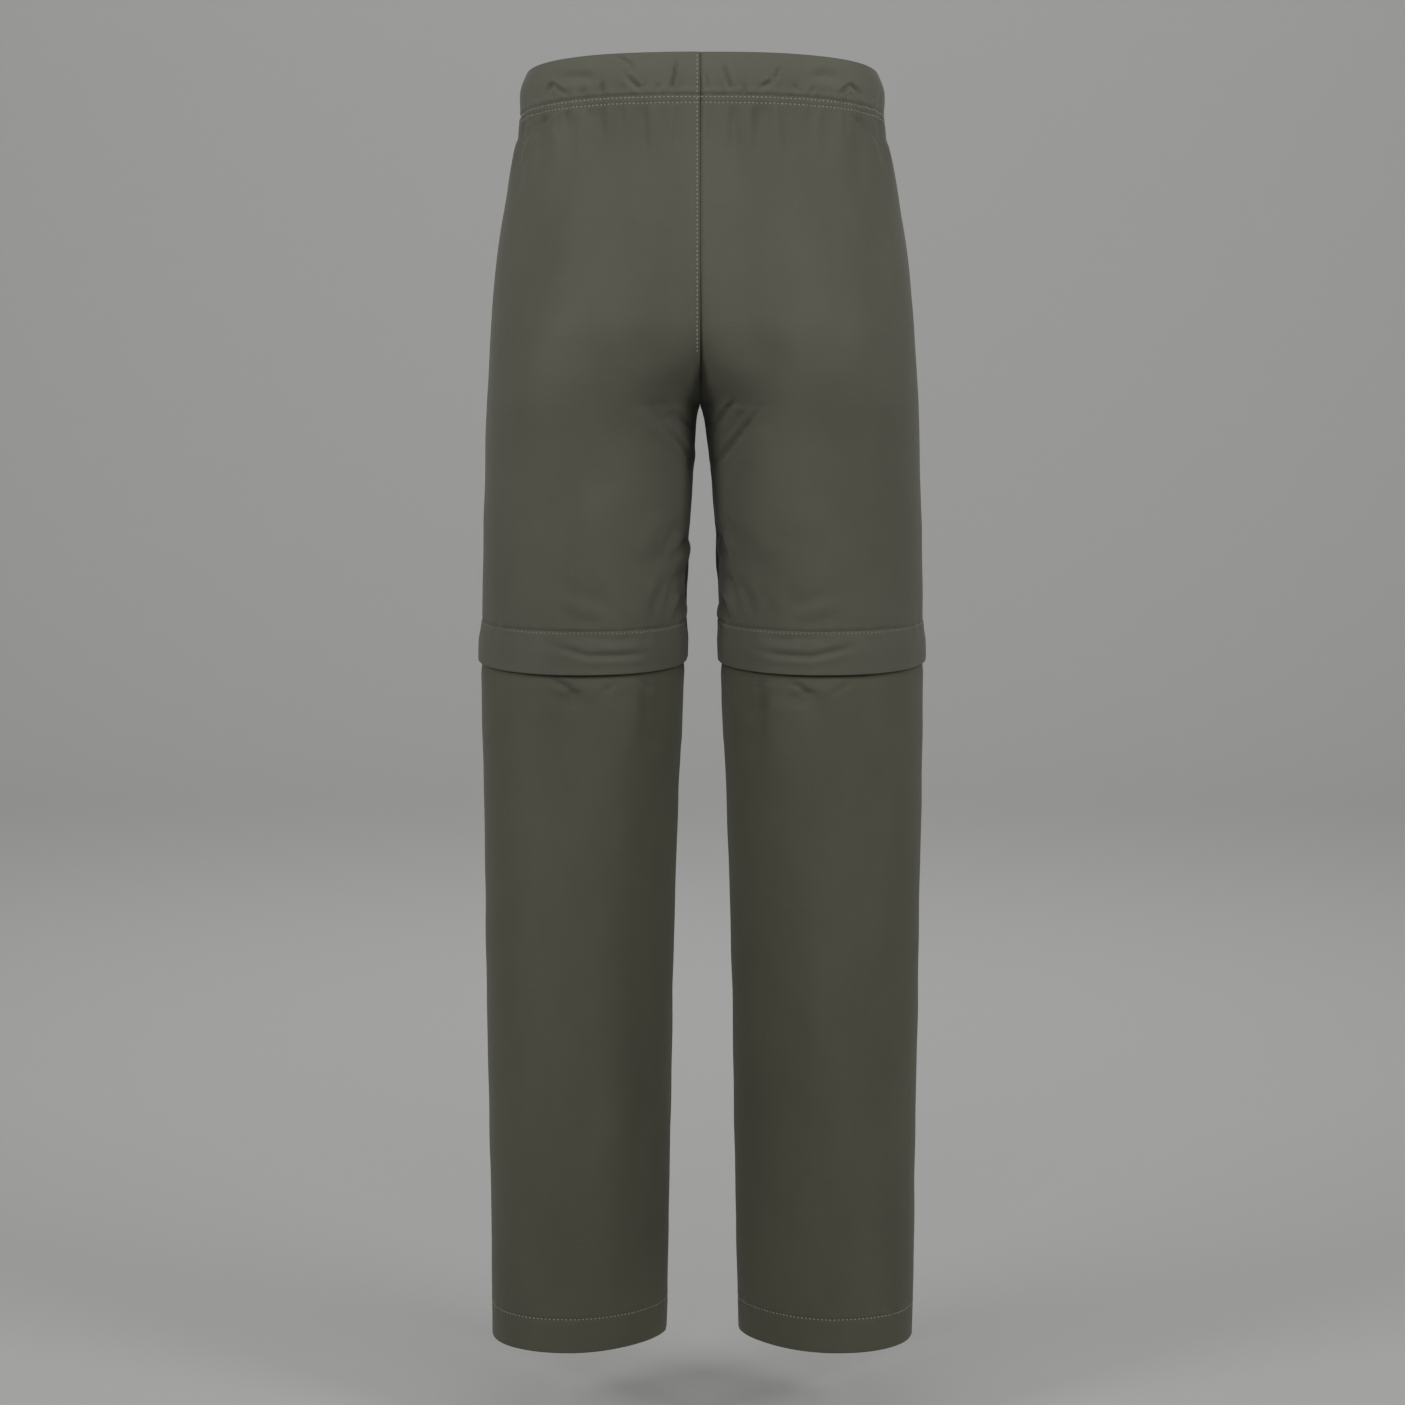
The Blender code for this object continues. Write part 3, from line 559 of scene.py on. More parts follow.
@dataclass(frozen=True)
class Form:
    """The filled-out form of one side, worked out on the left and mirrored for the right."""

    side: Side
    arc_steps: int = 721
    seam_calm: float = 7.0

    def section(self, levels: Array) -> tuple[Array, ...]:
        """Centre, half widths, power, end angle and overlap of the section at each level.

        A leg's section is a whole superellipse. Above the crotch its centre moves in to the centre plane as
        its overlap with the plane falls from 1 to 0, as (1 - rise^1.2)^1.6. Its inner half is stretched and
        cut off at the plane, where a share (1 - rise^1.6)^4.2 of that half is left.
        """
        outer, inner = read(WIDTHS, "outer", levels), read(WIDTHS, "inner", levels)
        back, front = read(DEPTHS, "back", levels), read(DEPTHS, "front", levels)
        power = read(DEPTHS, "power", levels)
        rise = np.clip((levels - CROTCH_LEVEL) / CLEFT_HEIGHT, 0.0, 1.0)
        overlap = (1.0 - rise**CLEFT_RISE_POWER) ** CLEFT_POWER
        cut = np.maximum((1.0 - rise**CUT_RISE_POWER) ** CUT_POWER, 1e-9)
        width = outer - HALF_GAP
        leg = levels <= CROTCH_LEVEL
        outer_width = np.where(leg, (outer - inner) / 2, width / (1.0 + overlap))
        inner_width = np.where(leg, outer_width, width * overlap / (1.0 + overlap) / cut)
        end_angle = np.where(leg, np.pi, np.arccos(-(cut ** (power / 2))))
        return (outer - outer_width, (back - front) / 2, outer_width, inner_width, (back + front) / 2, power,
                end_angle, np.where(leg, 1.0, overlap))

    def arcs(self, levels: Array) -> tuple[Array, ...]:
        """Many points of each section, the lengths walked along it, and how shares spread over it.

        Each section is x = cx + a cos^(2/n), y = cy + b sin^(2/n) with the signs kept, where a differs
        between its outer and inner halves, and the inner one is less square below the knee; then the rows
        get their slope and lean. The back's crown is where the two halves meet. The inner half has a share
        of the columns that falls with the overlap, and above the crotch they crowd towards the seam, so that
        columns go up the form without a sideways jump.

        Returns:
            x, y and z, the lengths, the way to the crown, the inner half's share and its crowding.
        """
        columns = (v[:, None] for v in self.section(levels))
        centre, middle, outer, inner, half_depth, power, end, overlap = columns
        angles = end * np.linspace(1.0, -1.0, self.arc_steps)[None, :]
        cosines, sines = np.cos(angles), np.sin(angles)
        facet = FACET_DROP * ease((FACET_START - levels) / FACET_RUN)[:, None]
        power = np.where(cosines < 0.0, power - facet, power)
        x = centre + np.where(cosines < 0.0, -inner, outer) * np.abs(cosines) ** (2 / power)
        y = middle + half_depth * np.sign(sines) * np.abs(sines) ** (2 / power)
        lean = read(DEPTHS, "lean", levels)[:, None]
        x = x + lean * (y - middle)
        z = levels[:, None] + read(DEPTHS, "slope", levels)[:, None] * y
        walked = np.cumsum(np.hypot(np.diff(x), np.diff(y)), axis=1)
        lengths = np.concatenate((np.zeros((len(levels), 1)), walked), axis=1)
        place = (0.5 - np.pi / 4.0 / end[:, 0]) * (self.arc_steps - 1)
        step, row = np.floor(place).astype(int), np.arange(len(levels))
        part = ((centre + lean * half_depth)[:, 0] - x[row, step]) / (x[row, step + 1] - x[row, step])
        crown = lengths[row, step] + part * (lengths[row, step + 1] - lengths[row, step])
        inner_share = overlap[:, 0] / (1.0 + overlap[:, 0])
        present = inner_share > 1e-6
        beyond = (lengths[:, -1] / 2.0 - crown) / (1.0 - inner_share)
        crowding = np.where(present, beyond * inner_share / np.where(present, crown, 1.0), 1.0)
        return x, y, z, lengths, crown, inner_share, crowding

    def around(self, levels: Array, shares: Array) -> tuple[Array, Array, Array]:
        """Points of the plain form at shares of the way round, which are even on a leg.

        Args:
            levels: One level for each row.
            shares: Rows by columns of shares of the way round.

        Returns:
            Rows by columns by 3 of points, the way round at each row, and the distance round of each point.
        """
        x, y, z, lengths, crown, inner_share, crowding = self.arcs(levels)
        total, crown, inner_share = lengths[:, -1], crown[:, None], inner_share[:, None]
        half = total[:, None] / 2.0
        shares = np.clip(shares, 0.0, 1.0)
        part = 2.0 * np.minimum(shares, 1.0 - shares)
        near = crown * np.minimum(part / np.maximum(inner_share, 1e-9), 1.0) ** crowding[:, None]
        beyond = crown + (half - crown) * (part - inner_share) / (1.0 - inner_share)
        ways = np.where(part < inner_share, near, beyond)
        ways = np.where(shares <= 0.5, ways, 2.0 * half - ways)
        rows = 2.0 * np.arange(len(levels))[:, None]
        keys, wanted = (rows + lengths / total[:, None]).ravel(), rows + ways / total[:, None]
        points = np.stack([np.interp(wanted, keys, values.ravel()) for values in (x, y, z)], axis=-1)
        return points, total, ways

    def share_at(self, levels: Array, distance: float) -> Array:
        """The share that lies a distance round from the centre back at each level."""
        lengths, crown, inner_share, crowding = self.arcs(levels)[3:]
        near = inner_share * np.minimum(distance / np.maximum(crown, 1e-9), 1.0) ** (1.0 / crowding)
        beyond = inner_share + (distance - crown) / (lengths[:, -1] / 2.0 - crown) * (1.0 - inner_share)
        return np.where(distance < crown, near, beyond) / 2.0

    def normals(self, levels: Array, shares: Array) -> Array:
        """Outward normals of the plain form: the cross product of its steps up and along."""
        high = np.where(levels <= CROTCH_LEVEL, np.minimum(levels + 0.5, CROTCH_LEVEL), levels + 0.5)
        up = self.around(high, shares)[0] - self.around(levels - 0.5, shares)[0]
        along = self.around(levels, shares + 0.003)[0] - self.around(levels, shares - 0.003)[0]
        return unit(np.cross(up, along))

    def line_depth(self, line: Sequence[tuple[float, float]], width: float, depth: float,
                   points: Array) -> Array:
        """Inward depth of one trough along a line through several places in the X-Z plane.

        It is the trough of the distance to the nearest stretch, and eases off over the last quarter of the
        line at both ends.
        """
        places = np.array(line, float)
        runs = np.diff(places, axis=0)
        lengths = np.hypot(runs[:, 0], runs[:, 1])
        before = np.concatenate(([0.0], np.cumsum(lengths)))
        nearest = np.full(points.shape[:-1], np.inf)
        along = np.zeros(points.shape[:-1])
        for start, run, length, walked in zip(places[:-1], runs, lengths, before):
            offset = points[..., [0, 2]] - start
            t = np.clip(offset @ run / length**2, 0.0, 1.0)
            distance = np.linalg.norm(offset - t[..., None] * run, axis=-1)
            closer = distance < nearest
            nearest = np.where(closer, distance, nearest)
            along = np.where(closer, walked + t * length, along)
        share = along / before[-1]
        return depth * (0.15 + 0.85 * ease(np.minimum(share, 1.0 - share) / 0.28)) * trough(nearest, width)

    def folds_depth(self, table: Sequence[Fold], points: Array) -> Array:
        """Inward depth of all the folds in a table."""
        return sum((self.line_depth(((f.x_from, f.z_from), (f.x_to, f.z_to)), f.width, f.depth, points)
                    for f in table), np.zeros(points.shape[:-1]))

    def gather_depth(self, face: Face, levels: Array, distances: Array) -> Array:
        """Inward depth of the gathers, which begin below the waist seam and fade out at their reach."""
        drop = (BAND_SEAM - 3.0 - levels)[:, None]
        depth = np.zeros(distances.shape)
        for gather in GATHERS[self.side, face]:
            fade = ease(drop / 11.0) * (1.0 - ease((drop - 11.0) / gather.reach))
            depth += gather.depth * fade * trough(distances - gather.place, gather.width)
        return depth

    def fine_depth(self, face: Face, points: Array, levels: Array, distances: Array) -> Array:
        """Inward depth of what only the visible cloth has.

        It adds the fine creases and broad planes, small puckers that die away from each row of stitches,
        and a slow unevenness of four crossed waves.

        The puckers are three sines of the distance round, each with its phase swayed by a slower one.
        """
        depth = self.folds_depth(PLANES[self.side, face], points)
        for crease in CREASES[self.side, face]:
            depth += self.line_depth(crease.points, crease.width, crease.depth, points)
        phase = 1.7 * self.side.value + 0.9 * face.value
        wave = np.sin(distances / 3.1 + phase + 1.8 * np.sin(distances / 17.0 + phase))
        wave += 0.6 * np.sin(distances / 1.9 + 2.3 * np.sin(distances / 11.0 - phase))
        wave += 0.5 * np.sin(distances / 1.05 + 3.1 * np.sin(distances / 14.0 + phase))
        for row, spread, strength in PUCKERS:
            depth += strength * wave * bell(levels[:, None] - row, spread)
        x, z = points[..., 0] + 31.0 * phase, points[..., 2]
        depth += 0.22 * np.sin(x / 19.0 + z / 47.0 + phase) + 0.18 * np.sin(x / 11.0 - z / 29.0)
        depth += 0.12 * np.sin(z / 13.0 + 1.9 * np.sin(x / 23.0)) + 0.10 * np.sin(x / 7.0 + z / 9.0 + phase)
        return depth

    def seam_roll(self, levels: Array, ways: Array, normals: Array, total: Array) -> Array:
        """How the cloth stands at its long seams: bells of the distances to them.

        Above the crotch the left side lies over the turned-under seam and stands a little high, and the
        right side dips beside it. Both move straight in, with no movement across, so the seam stays closed.
        """
        centre = np.minimum(ways, total[:, None] - ways)
        outseam = np.abs(ways - total[:, None] / 2.0)
        straight = normals * np.array([0.0, 1.0, 1.0])
        straight /= np.maximum(np.linalg.norm(straight, axis=-1, keepdims=True), 0.05)
        torso = ease((levels - CROTCH_LEVEL) / 4.0)[:, None]
        direction = np.where((levels > CROTCH_LEVEL)[:, None, None], straight, normals)
        groove = bells(centre, GROOVE_BELLS[self.side]) * ease((levels - CROTCH_LEVEL) / GROOVE_FADE)[:, None]
        groove = groove * ease((GROOVE_TOP - levels) / (GROOVE_TOP - CROTCH_LEVEL))[:, None]
        step = bells(centre, CENTRE_BELLS[self.side]) + groove
        inseam = bells(centre, INSEAM_BELLS) * (levels <= CROTCH_LEVEL)[:, None]
        depth = torso * step + (1.0 - torso) * inseam
        return -direction * depth[..., None] - normals * bells(outseam, OUTSEAM_BELLS)[..., None]

    def cloth(self, levels: Array, shares: Array, lifts: Array, fine: float = 1.0) -> Array:
        """Points of the creased cloth.

        Args:
            levels: One level for each row.
            shares: Rows by columns.
            lifts: Distance off the form along its normal, rows by columns or broadcast to it.
            fine: How much of the fine creasing and of the roll at the seams this layer has.

        Returns:
            Rows by columns by 3, on the left side.
        """
        points, total, ways = self.around(levels, shares)
        depth = np.zeros(shares.shape)
        for face in Face:
            from_seam = ways if face is Face.BACK else total[:, None] - ways
            here = self.gather_depth(face, levels, from_seam)
            here = here + self.folds_depth(FOLDS[self.side, face], points)
            here = here + fine * self.fine_depth(face, points, levels, from_seam)
            depth = np.where((shares <= 0.5) == (face is Face.BACK), here, depth)
        to_seam = np.minimum(np.minimum(ways, total[:, None] - ways), np.abs(ways - total[:, None] / 2.0))
        depth = depth * ease((to_seam + 1.0) / self.seam_calm)
        normals = self.normals(levels, shares)
        placed = (points + normals * (lifts - depth)[..., None]
                  + fine * self.seam_roll(levels, ways, normals, total))
        reach = ease((placed[..., 2] - DRIFT_END) / -DRIFT_END / 0.3)
        placed[..., 0] += self.side.value * DRIFT * reach * bell(placed[..., 0], DRIFT_SPREAD)
        return placed


def spaced(start: float, end: float, stops: Sequence[float], fine: float, coarse: float,
           growth: float = 0.2) -> Array:
    """Places from start to end that crowd together at the stops.

    The step is fine at a stop and grows with the distance from it up to coarse; the count of steps is the
    integral of one over the step, and the places are where that count is whole.
    """
    dense = np.linspace(start, end, 6001)
    away = np.abs(dense[:, None] - np.array(stops)[None, :]).min(axis=1)
    density = 1.0 / np.minimum(coarse, fine + growth * away)
    count = np.concatenate(([0.0], np.cumsum((density[1:] + density[:-1]) / 2.0 * np.abs(np.diff(dense)))))
    return np.interp(np.linspace(0.0, count[-1], math.ceil(count[-1]) + 1), count, dense)


def quads(rows: int, columns: int, wrap_rows: bool, wrap_columns: bool) -> Faces:
    """Faces of a grid whose rows go down and whose columns go round, facing outwards on the left side."""
    i = np.arange(rows if wrap_rows else rows - 1)[:, None]
    j = np.arange(columns if wrap_columns else columns - 1)[None, :]
    below, beside = (i + 1) % rows, (j + 1) % columns
    here, under = i * columns, below * columns
    corners = np.broadcast_arrays(here + j, here + beside, under + beside, under + j)
    return np.stack(corners, axis=-1).reshape(-1, 4)


def make_object(name: str, points: Array, faces: Faces, side: Side, material: Material,
                uvs: Array | None = None, sharp: float = 50.0) -> Object:
    """Make a mesh object from points in millimetres on the left side.

    Args:
        name: The object's name.
        points: Any shape whose last axis is 3.
        faces: Rows of vertex numbers, facing outwards on the left side.
        side: The right side is mirrored in X and its faces are turned.
        material: Its one material.
        uvs: A pair for each vertex, in metres of cloth.
        sharp: Edges that turn by more than this angle, in degrees, are shaded sharp.

    Returns:
        The object, linked to the scene and riding on the one body.
    """
    flat = points.reshape(-1, 3) * MM * np.array([side.value, 1.0, 1.0])
    if side is Side.RIGHT:
        faces = faces[:, ::-1]
    mesh = bpy.data.meshes.new(name)
    mesh.vertices.add(len(flat))
    mesh.vertices.foreach_set("co", flat.astype(np.float32).ravel())
    size = faces.shape[1]
    mesh.loops.add(faces.size)
    mesh.loops.foreach_set("vertex_index", faces.astype(np.int32).ravel())
    mesh.polygons.add(len(faces))
    mesh.polygons.foreach_set("loop_start", np.arange(0, faces.size, size, dtype=np.int32))
    mesh.update(calc_edges=True)
    mesh.validate()
    if uvs is not None:
        layer = mesh.uv_layers.new(name=UV_NAME)
        layer.data.foreach_set("uv", uvs.reshape(-1, 2)[faces.ravel()].astype(np.float32).ravel())
    mesh.shade_smooth()
    mesh.set_sharp_from_angle(angle=math.radians(sharp))
    mesh.materials.append(material)
    made = bpy.data.objects.new(name, mesh)
    bpy.context.scene.collection.objects.link(made)
    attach(made, "root")
    return made


@dataclass(frozen=True)
class Profile:
    """The cross-section of a wall, from top to bottom: levels and lifts of its outer and inner faces."""

    levels: Array
    outer: Array
    inner: Array

    def loop(self) -> tuple[Array, Array]:
        """Levels and lifts once round the section: down the outer face and up the inner one."""
        return (np.concatenate((self.levels, self.levels[::-1])),
                np.concatenate((self.outer, self.inner[::-1])))

    def lift_at(self, levels: Array) -> Array:
        """How far the outer face stands off the form at some levels."""
        return np.interp(-levels, -self.levels, self.outer)


def shell(form: Form, profile: Profile, shares: Callable[[Array], Array], closed: bool, fine: float,
          extra: Callable[[Array, Array], Array] | None = None) -> tuple[Array, Faces, Array]:
    """Carry a wall's section round the form.

    The section's loop gives the rows of a grid that wraps from the inner face back to the outer one. An open
    wall is closed at its two ends by a strip of faces between its outer and inner rows.

    Args:
        form: The side's form.
        profile: The wall's section.
        shares: Gives the shares of the columns at each level.
        closed: Whether the wall is a ring.
        fine: How much of the fine creasing it has.
        extra: More lift at levels and shares.

    Returns:
        Points, faces and UV pairs.
    """
    levels, lifts = profile.loop()
    places = np.clip(shares(levels), 0.0, 1.0)
    lift_grid = np.broadcast_to(lifts[:, None], places.shape)
    if extra is not None:
        lift_grid = lift_grid + extra(levels, places)
    points = form.cloth(levels, places, lift_grid, fine)
    rows, columns = places.shape
    faces = quads(rows, columns, True, closed)
    if not closed:
        half = rows // 2
        down, back_up = np.arange(half), rows - 1 - np.arange(half)
        for column, turned in ((0, False), (columns - 1, True)):
            outer, inner = down * columns + column, back_up * columns + column
            cap = np.stack((outer[:-1], outer[1:], inner[1:], inner[:-1]), axis=-1)
            faces = np.concatenate((faces, cap[:, ::-1] if turned else cap))
    ways = form.around(levels, places)[2]
    uvs = np.stack((ways * MM, np.broadcast_to(levels[:, None] * MM, places.shape)), -1)
    return points, faces, uvs


def face_shares(form: Form, face: Face, coarse: float) -> Callable[[Array], Array]:
    """Shares of a panel's columns, from its centre or inner seam to its outseam, crowded at both."""
    half_round = 230.0
    t = spaced(0.0, half_round, (0.0, CENTRE_ROW, half_round), 0.5, coarse)[None, :] / half_round

    def shares(levels: Array) -> Array:
        """Rows by columns of shares; on a leg they begin half a gap past its inseam."""
        length = form.around(levels, np.zeros((len(levels), 1)))[1]
        start = np.where(levels <= CROTCH_LEVEL, HALF_GAP / length, 0.0)
        places = start[:, None] + t * (0.5 - HALF_GAP / length - start)[:, None]
        return places if face is Face.BACK else 1.0 - places[:, ::-1]
    return shares


def ring_shares(columns: int) -> Callable[[Array], Array]:
    """Shares of a closed ring's columns."""
    return lambda levels: np.broadcast_to(np.arange(columns) / columns, (len(levels), columns))


def flat_area(form: Form, face: Face, top: float, bottom: float) -> float:
    """Area in square metres of one face of the plain form between two levels."""
    levels = np.linspace(top, bottom, 60)
    places = np.broadcast_to(np.linspace(0.0, 0.5, 80), (60, 80))
    if face is Face.FRONT:
        places = 1.0 - places
    points = form.around(levels, places)[0]
    across, down = np.diff(points[:-1], axis=1), np.diff(points[:, :-1], axis=0)
    return float(np.linalg.norm(np.cross(across, down), axis=-1).sum()) * MM * MM


class Nodes:
    """Short calls that add shader nodes to one material."""

    def __init__(self, name: str) -> None:
        """Start a material with its Principled shader."""
        self.material = bpy.data.materials.new(name)
        self.material.use_nodes = True
        self.tree = self.material.node_tree
        self.shader = self.tree.nodes["Principled BSDF"]

    def add(self, kind: str, **values: object) -> bpy.types.Node:
        """Add a node; values that name a socket set it, and the others set a property."""
        node = self.tree.nodes.new(kind)
        for key, value in values.items():
            socket = node.inputs.get(key.replace("_", " "))
            if socket is not None:
                socket.default_value = value
            else:
                setattr(node, key, value)
        return node

    def link(self, source: Socket, target: Socket) -> None:
        """Join two sockets."""
        self.tree.links.new(source, target)

    def math(self, operation: str, *values: object) -> Socket:
        """A Math node of sockets or numbers."""
        node = self.tree.nodes.new("ShaderNodeMath")
        node.operation = operation
        for socket, value in zip(node.inputs, values):
            if isinstance(value, Socket):
                self.link(value, socket)
            else:
                socket.default_value = value
        return node.outputs[0]

    def mapped(self, coordinates: Socket, scale: Vector) -> Socket:
        """Coordinates scaled by a Mapping node."""
        node = self.tree.nodes.new("ShaderNodeMapping")
        node.inputs["Scale"].default_value = scale
        self.link(coordinates, node.inputs["Vector"])
        return node.outputs["Vector"]

    def noise(self, coordinates: Socket, scale: float, detail: float) -> Socket:
        """A Noise texture's value."""
        node = self.add("ShaderNodeTexNoise", Scale=scale, Detail=detail)
        self.link(coordinates, node.inputs["Vector"])
        return node.outputs["Fac"]

    def band(self, coordinates: Socket, direction: str, pitch: float) -> Socket:
        """Sine bands with the given pitch in metres across U ('X') or V ('Y')."""
        node = self.add("ShaderNodeTexWave", Scale=math.pi / 10.0 / pitch)
        node.wave_type = "BANDS"
        node.bands_direction = direction
        self.link(coordinates, node.inputs["Vector"])
        return node.outputs["Fac"]

    def spread(self, value: Socket, low: float, high: float) -> Socket:
        """The middle of a noise value's range, 0.3 to 0.7, spread from low to high."""
        node = self.add("ShaderNodeMapRange", From_Min=0.3, From_Max=0.7, To_Min=low, To_Max=high)
        self.link(value, node.inputs["Value"])
        return node.outputs[0]

    def tint(self, colour: Vector, light: Socket) -> None:
        """Give the shader a base colour that is a colour times a value."""
        scale = self.add("ShaderNodeVectorMath", operation="SCALE")
        scale.inputs[0].default_value = colour
        self.link(light, scale.inputs["Scale"])
        self.link(scale.outputs[0], self.shader.inputs["Base Color"])

    def bump(self, height: Socket, strength: float, distance: float, normal: Socket | None = None) -> Socket:
        """A Bump node's normal, on top of another normal where one is given."""
        node = self.add("ShaderNodeBump", Strength=strength, Distance=distance)
        self.link(height, node.inputs["Height"])
        if normal is not None:
            self.link(normal, node.inputs["Normal"])
        return node.outputs["Normal"]


@dataclass(frozen=True)
class ClothFinish:
    """Plain-weave nylon: matte, a faint sheen, slubs along the weft and slow changes of tone."""

    name: str
    colour: Vector
    roughness: float = 0.78
    sheen: float = 0.12
    weave_pitch: float = 0.0007
    tone: float = 0.34
    slub: float = 0.07
    fleck: float = 0.06

    def material(self) -> Material:
        """Build the material: two sine bands make the weave, stretched noise the slubs."""
        nodes = Nodes(self.name)
        place = nodes.add("ShaderNodeTexCoord").outputs["Object"]
        uv = nodes.add("ShaderNodeUVMap", uv_map=UV_NAME).outputs["UV"]
        tone = nodes.noise(nodes.mapped(place, (17.0, 17.0, 7.0)), 1.0, 4.0)
        slub = nodes.noise(nodes.mapped(uv, (24.0, 900.0, 1.0)), 1.0, 2.0)
        fleck = nodes.noise(nodes.mapped(uv, (420.0, 420.0, 1.0)), 1.0, 1.0)
        light = nodes.math("MULTIPLY_ADD", tone, self.tone, 1.0 - self.tone / 2)
        for value, strength in ((slub, self.slub), (fleck, self.fleck)):
            change = nodes.math("MULTIPLY", nodes.math("SUBTRACT", value, 0.5), strength)
            light = nodes.math("ADD", light, change)
        nodes.tint(self.colour, light)
        warp, weft = nodes.band(uv, "X", self.weave_pitch), nodes.band(uv, "Y", self.weave_pitch)
        weave = nodes.math("MULTIPLY", warp, weft)
        height = nodes.math("ADD", nodes.math("MULTIPLY", weave, 0.5), nodes.math("MULTIPLY", slub, 0.6))
        threads = nodes.bump(height, 0.35, 0.00018)
        crinkles = nodes.bump(nodes.noise(place, 70.0, 3.0), 0.30, 0.0016, threads)
        nodes.link(crinkles, nodes.shader.inputs["Normal"])
        nodes.shader.inputs["Roughness"].default_value = self.roughness
        nodes.shader.inputs["Specular IOR Level"].default_value = 0.30
        nodes.shader.inputs["Sheen Weight"].default_value = self.sheen
        nodes.shader.inputs["Sheen Roughness"].default_value = 0.45
        return nodes.material


@dataclass(frozen=True)
class ThreadFinish:
    """Spun polyester sewing thread, a little lighter than the cloth, with a fine twist."""

    name: str
    colour: Vector

    def material(self) -> Material:
        """Build the material: noise for its twist, and a soft gloss."""
        nodes = Nodes(self.name)
        place = nodes.add("ShaderNodeTexCoord").outputs["Object"]
        nodes.tint(self.colour, nodes.spread(nodes.noise(place, 1600.0, 1.0), 0.86, 1.12))
        twist = nodes.bump(nodes.noise(place, 2600.0, 1.0), 0.4, 0.0001)
        nodes.link(twist, nodes.shader.inputs["Normal"])
        nodes.shader.inputs["Roughness"].default_value = 0.55
        return nodes.material


@dataclass(frozen=True)
class TapeFinish:
    """Knitted zip tape: dark, with fine ribs along it."""

    name: str
    colour: Vector
    rib_pitch: float = 0.0011

    def material(self) -> Material:
        """Build the material: ribs across V and a fleck."""
        nodes = Nodes(self.name)
        uv = nodes.add("ShaderNodeUVMap", uv_map=UV_NAME).outputs["UV"]
        ribs = nodes.band(uv, "Y", self.rib_pitch)
        fleck = nodes.noise(nodes.mapped(uv, (900.0, 900.0, 1.0)), 1.0, 2.0)
        light = nodes.math("ADD", nodes.math("MULTIPLY", ribs, 0.3), nodes.math("ADD", fleck, 0.35))
        nodes.tint(self.colour, light)
        nodes.link(nodes.bump(ribs, 0.5, 0.0002), nodes.shader.inputs["Normal"])
        nodes.shader.inputs["Roughness"].default_value = 0.8
        return nodes.material


@dataclass(frozen=True)
class HardFinish:
    """Moulded coil or enamelled metal: dark, satin, faintly uneven and rubbed."""

    name: str
    colour: Vector
    roughness: float
    metallic: float

    def material(self) -> Material:
        """Build the material: noise varies the tone, the gloss and the surface."""
        nodes = Nodes(self.name)
        place = nodes.add("ShaderNodeTexCoord").outputs["Object"]
        rub = nodes.noise(place, 420.0, 3.0)
        nodes.tint(self.colour, nodes.spread(rub, 0.85, 1.25))
        gloss = nodes.spread(rub, self.roughness - 0.08, self.roughness + 0.08)
        nodes.link(gloss, nodes.shader.inputs["Roughness"])
        grain = nodes.bump(nodes.noise(place, 1500.0, 2.0), 0.2, 0.0001)
        nodes.link(grain, nodes.shader.inputs["Normal"])
        nodes.shader.inputs["Metallic"].default_value = self.metallic
        return nodes.material


@dataclass(frozen=True)
class StageFinish:
    """The pale paper of the floor."""

    name: str = "studio_paper"
    colour: tuple[float, float, float, float] = (0.62, 0.62, 0.61, 1.0)

    def material(self) -> Material:
        """Build the material: one matte colour."""
        nodes = Nodes(self.name)
        nodes.shader.inputs["Base Color"].default_value = self.colour
        nodes.shader.inputs["Roughness"].default_value = 0.9
        return nodes.material


def made(finish: ClothFinish | ThreadFinish | TapeFinish | HardFinish) -> Material:
    """A field whose value is the finish's material, built with the object that has the field."""
    return field(default_factory=finish.material)


@dataclass
class Finishes:
    """All the finishes, made once."""

    # All four are one cloth. The waistband is painted lighter and the lower legs darker than the upper
    # panels: painted light from above on the waist and painted shade towards the hems. The flap is nearly the
    # upper panels' colour.
    band: Material = made(ClothFinish("waistband_cloth", (0.118, 0.118, 0.093)))
    upper: Material = made(ClothFinish("upper_cloth", (0.103, 0.1025, 0.079)))
    flap: Material = made(ClothFinish("flap_cloth", (0.102, 0.1015, 0.079)))
    lower: Material = made(ClothFinish("lower_cloth", (0.091, 0.091, 0.067)))
    thread: Material = made(ThreadFinish("thread", (0.285, 0.280, 0.223)))
    dull_thread: Material = made(ThreadFinish("dull_thread", (0.195, 0.191, 0.152)))
    tape: Material = made(TapeFinish("zip_tape", (0.045, 0.045, 0.038)))
    pull: Material = made(TapeFinish("pull_tape", (0.060, 0.060, 0.052)))
    coil: Material = made(HardFinish("zip_coil", (0.035, 0.035, 0.031), 0.42, 0.0))
    slider: Material = made(HardFinish("slider_enamel", (0.055, 0.055, 0.050), 0.36, 0.6))


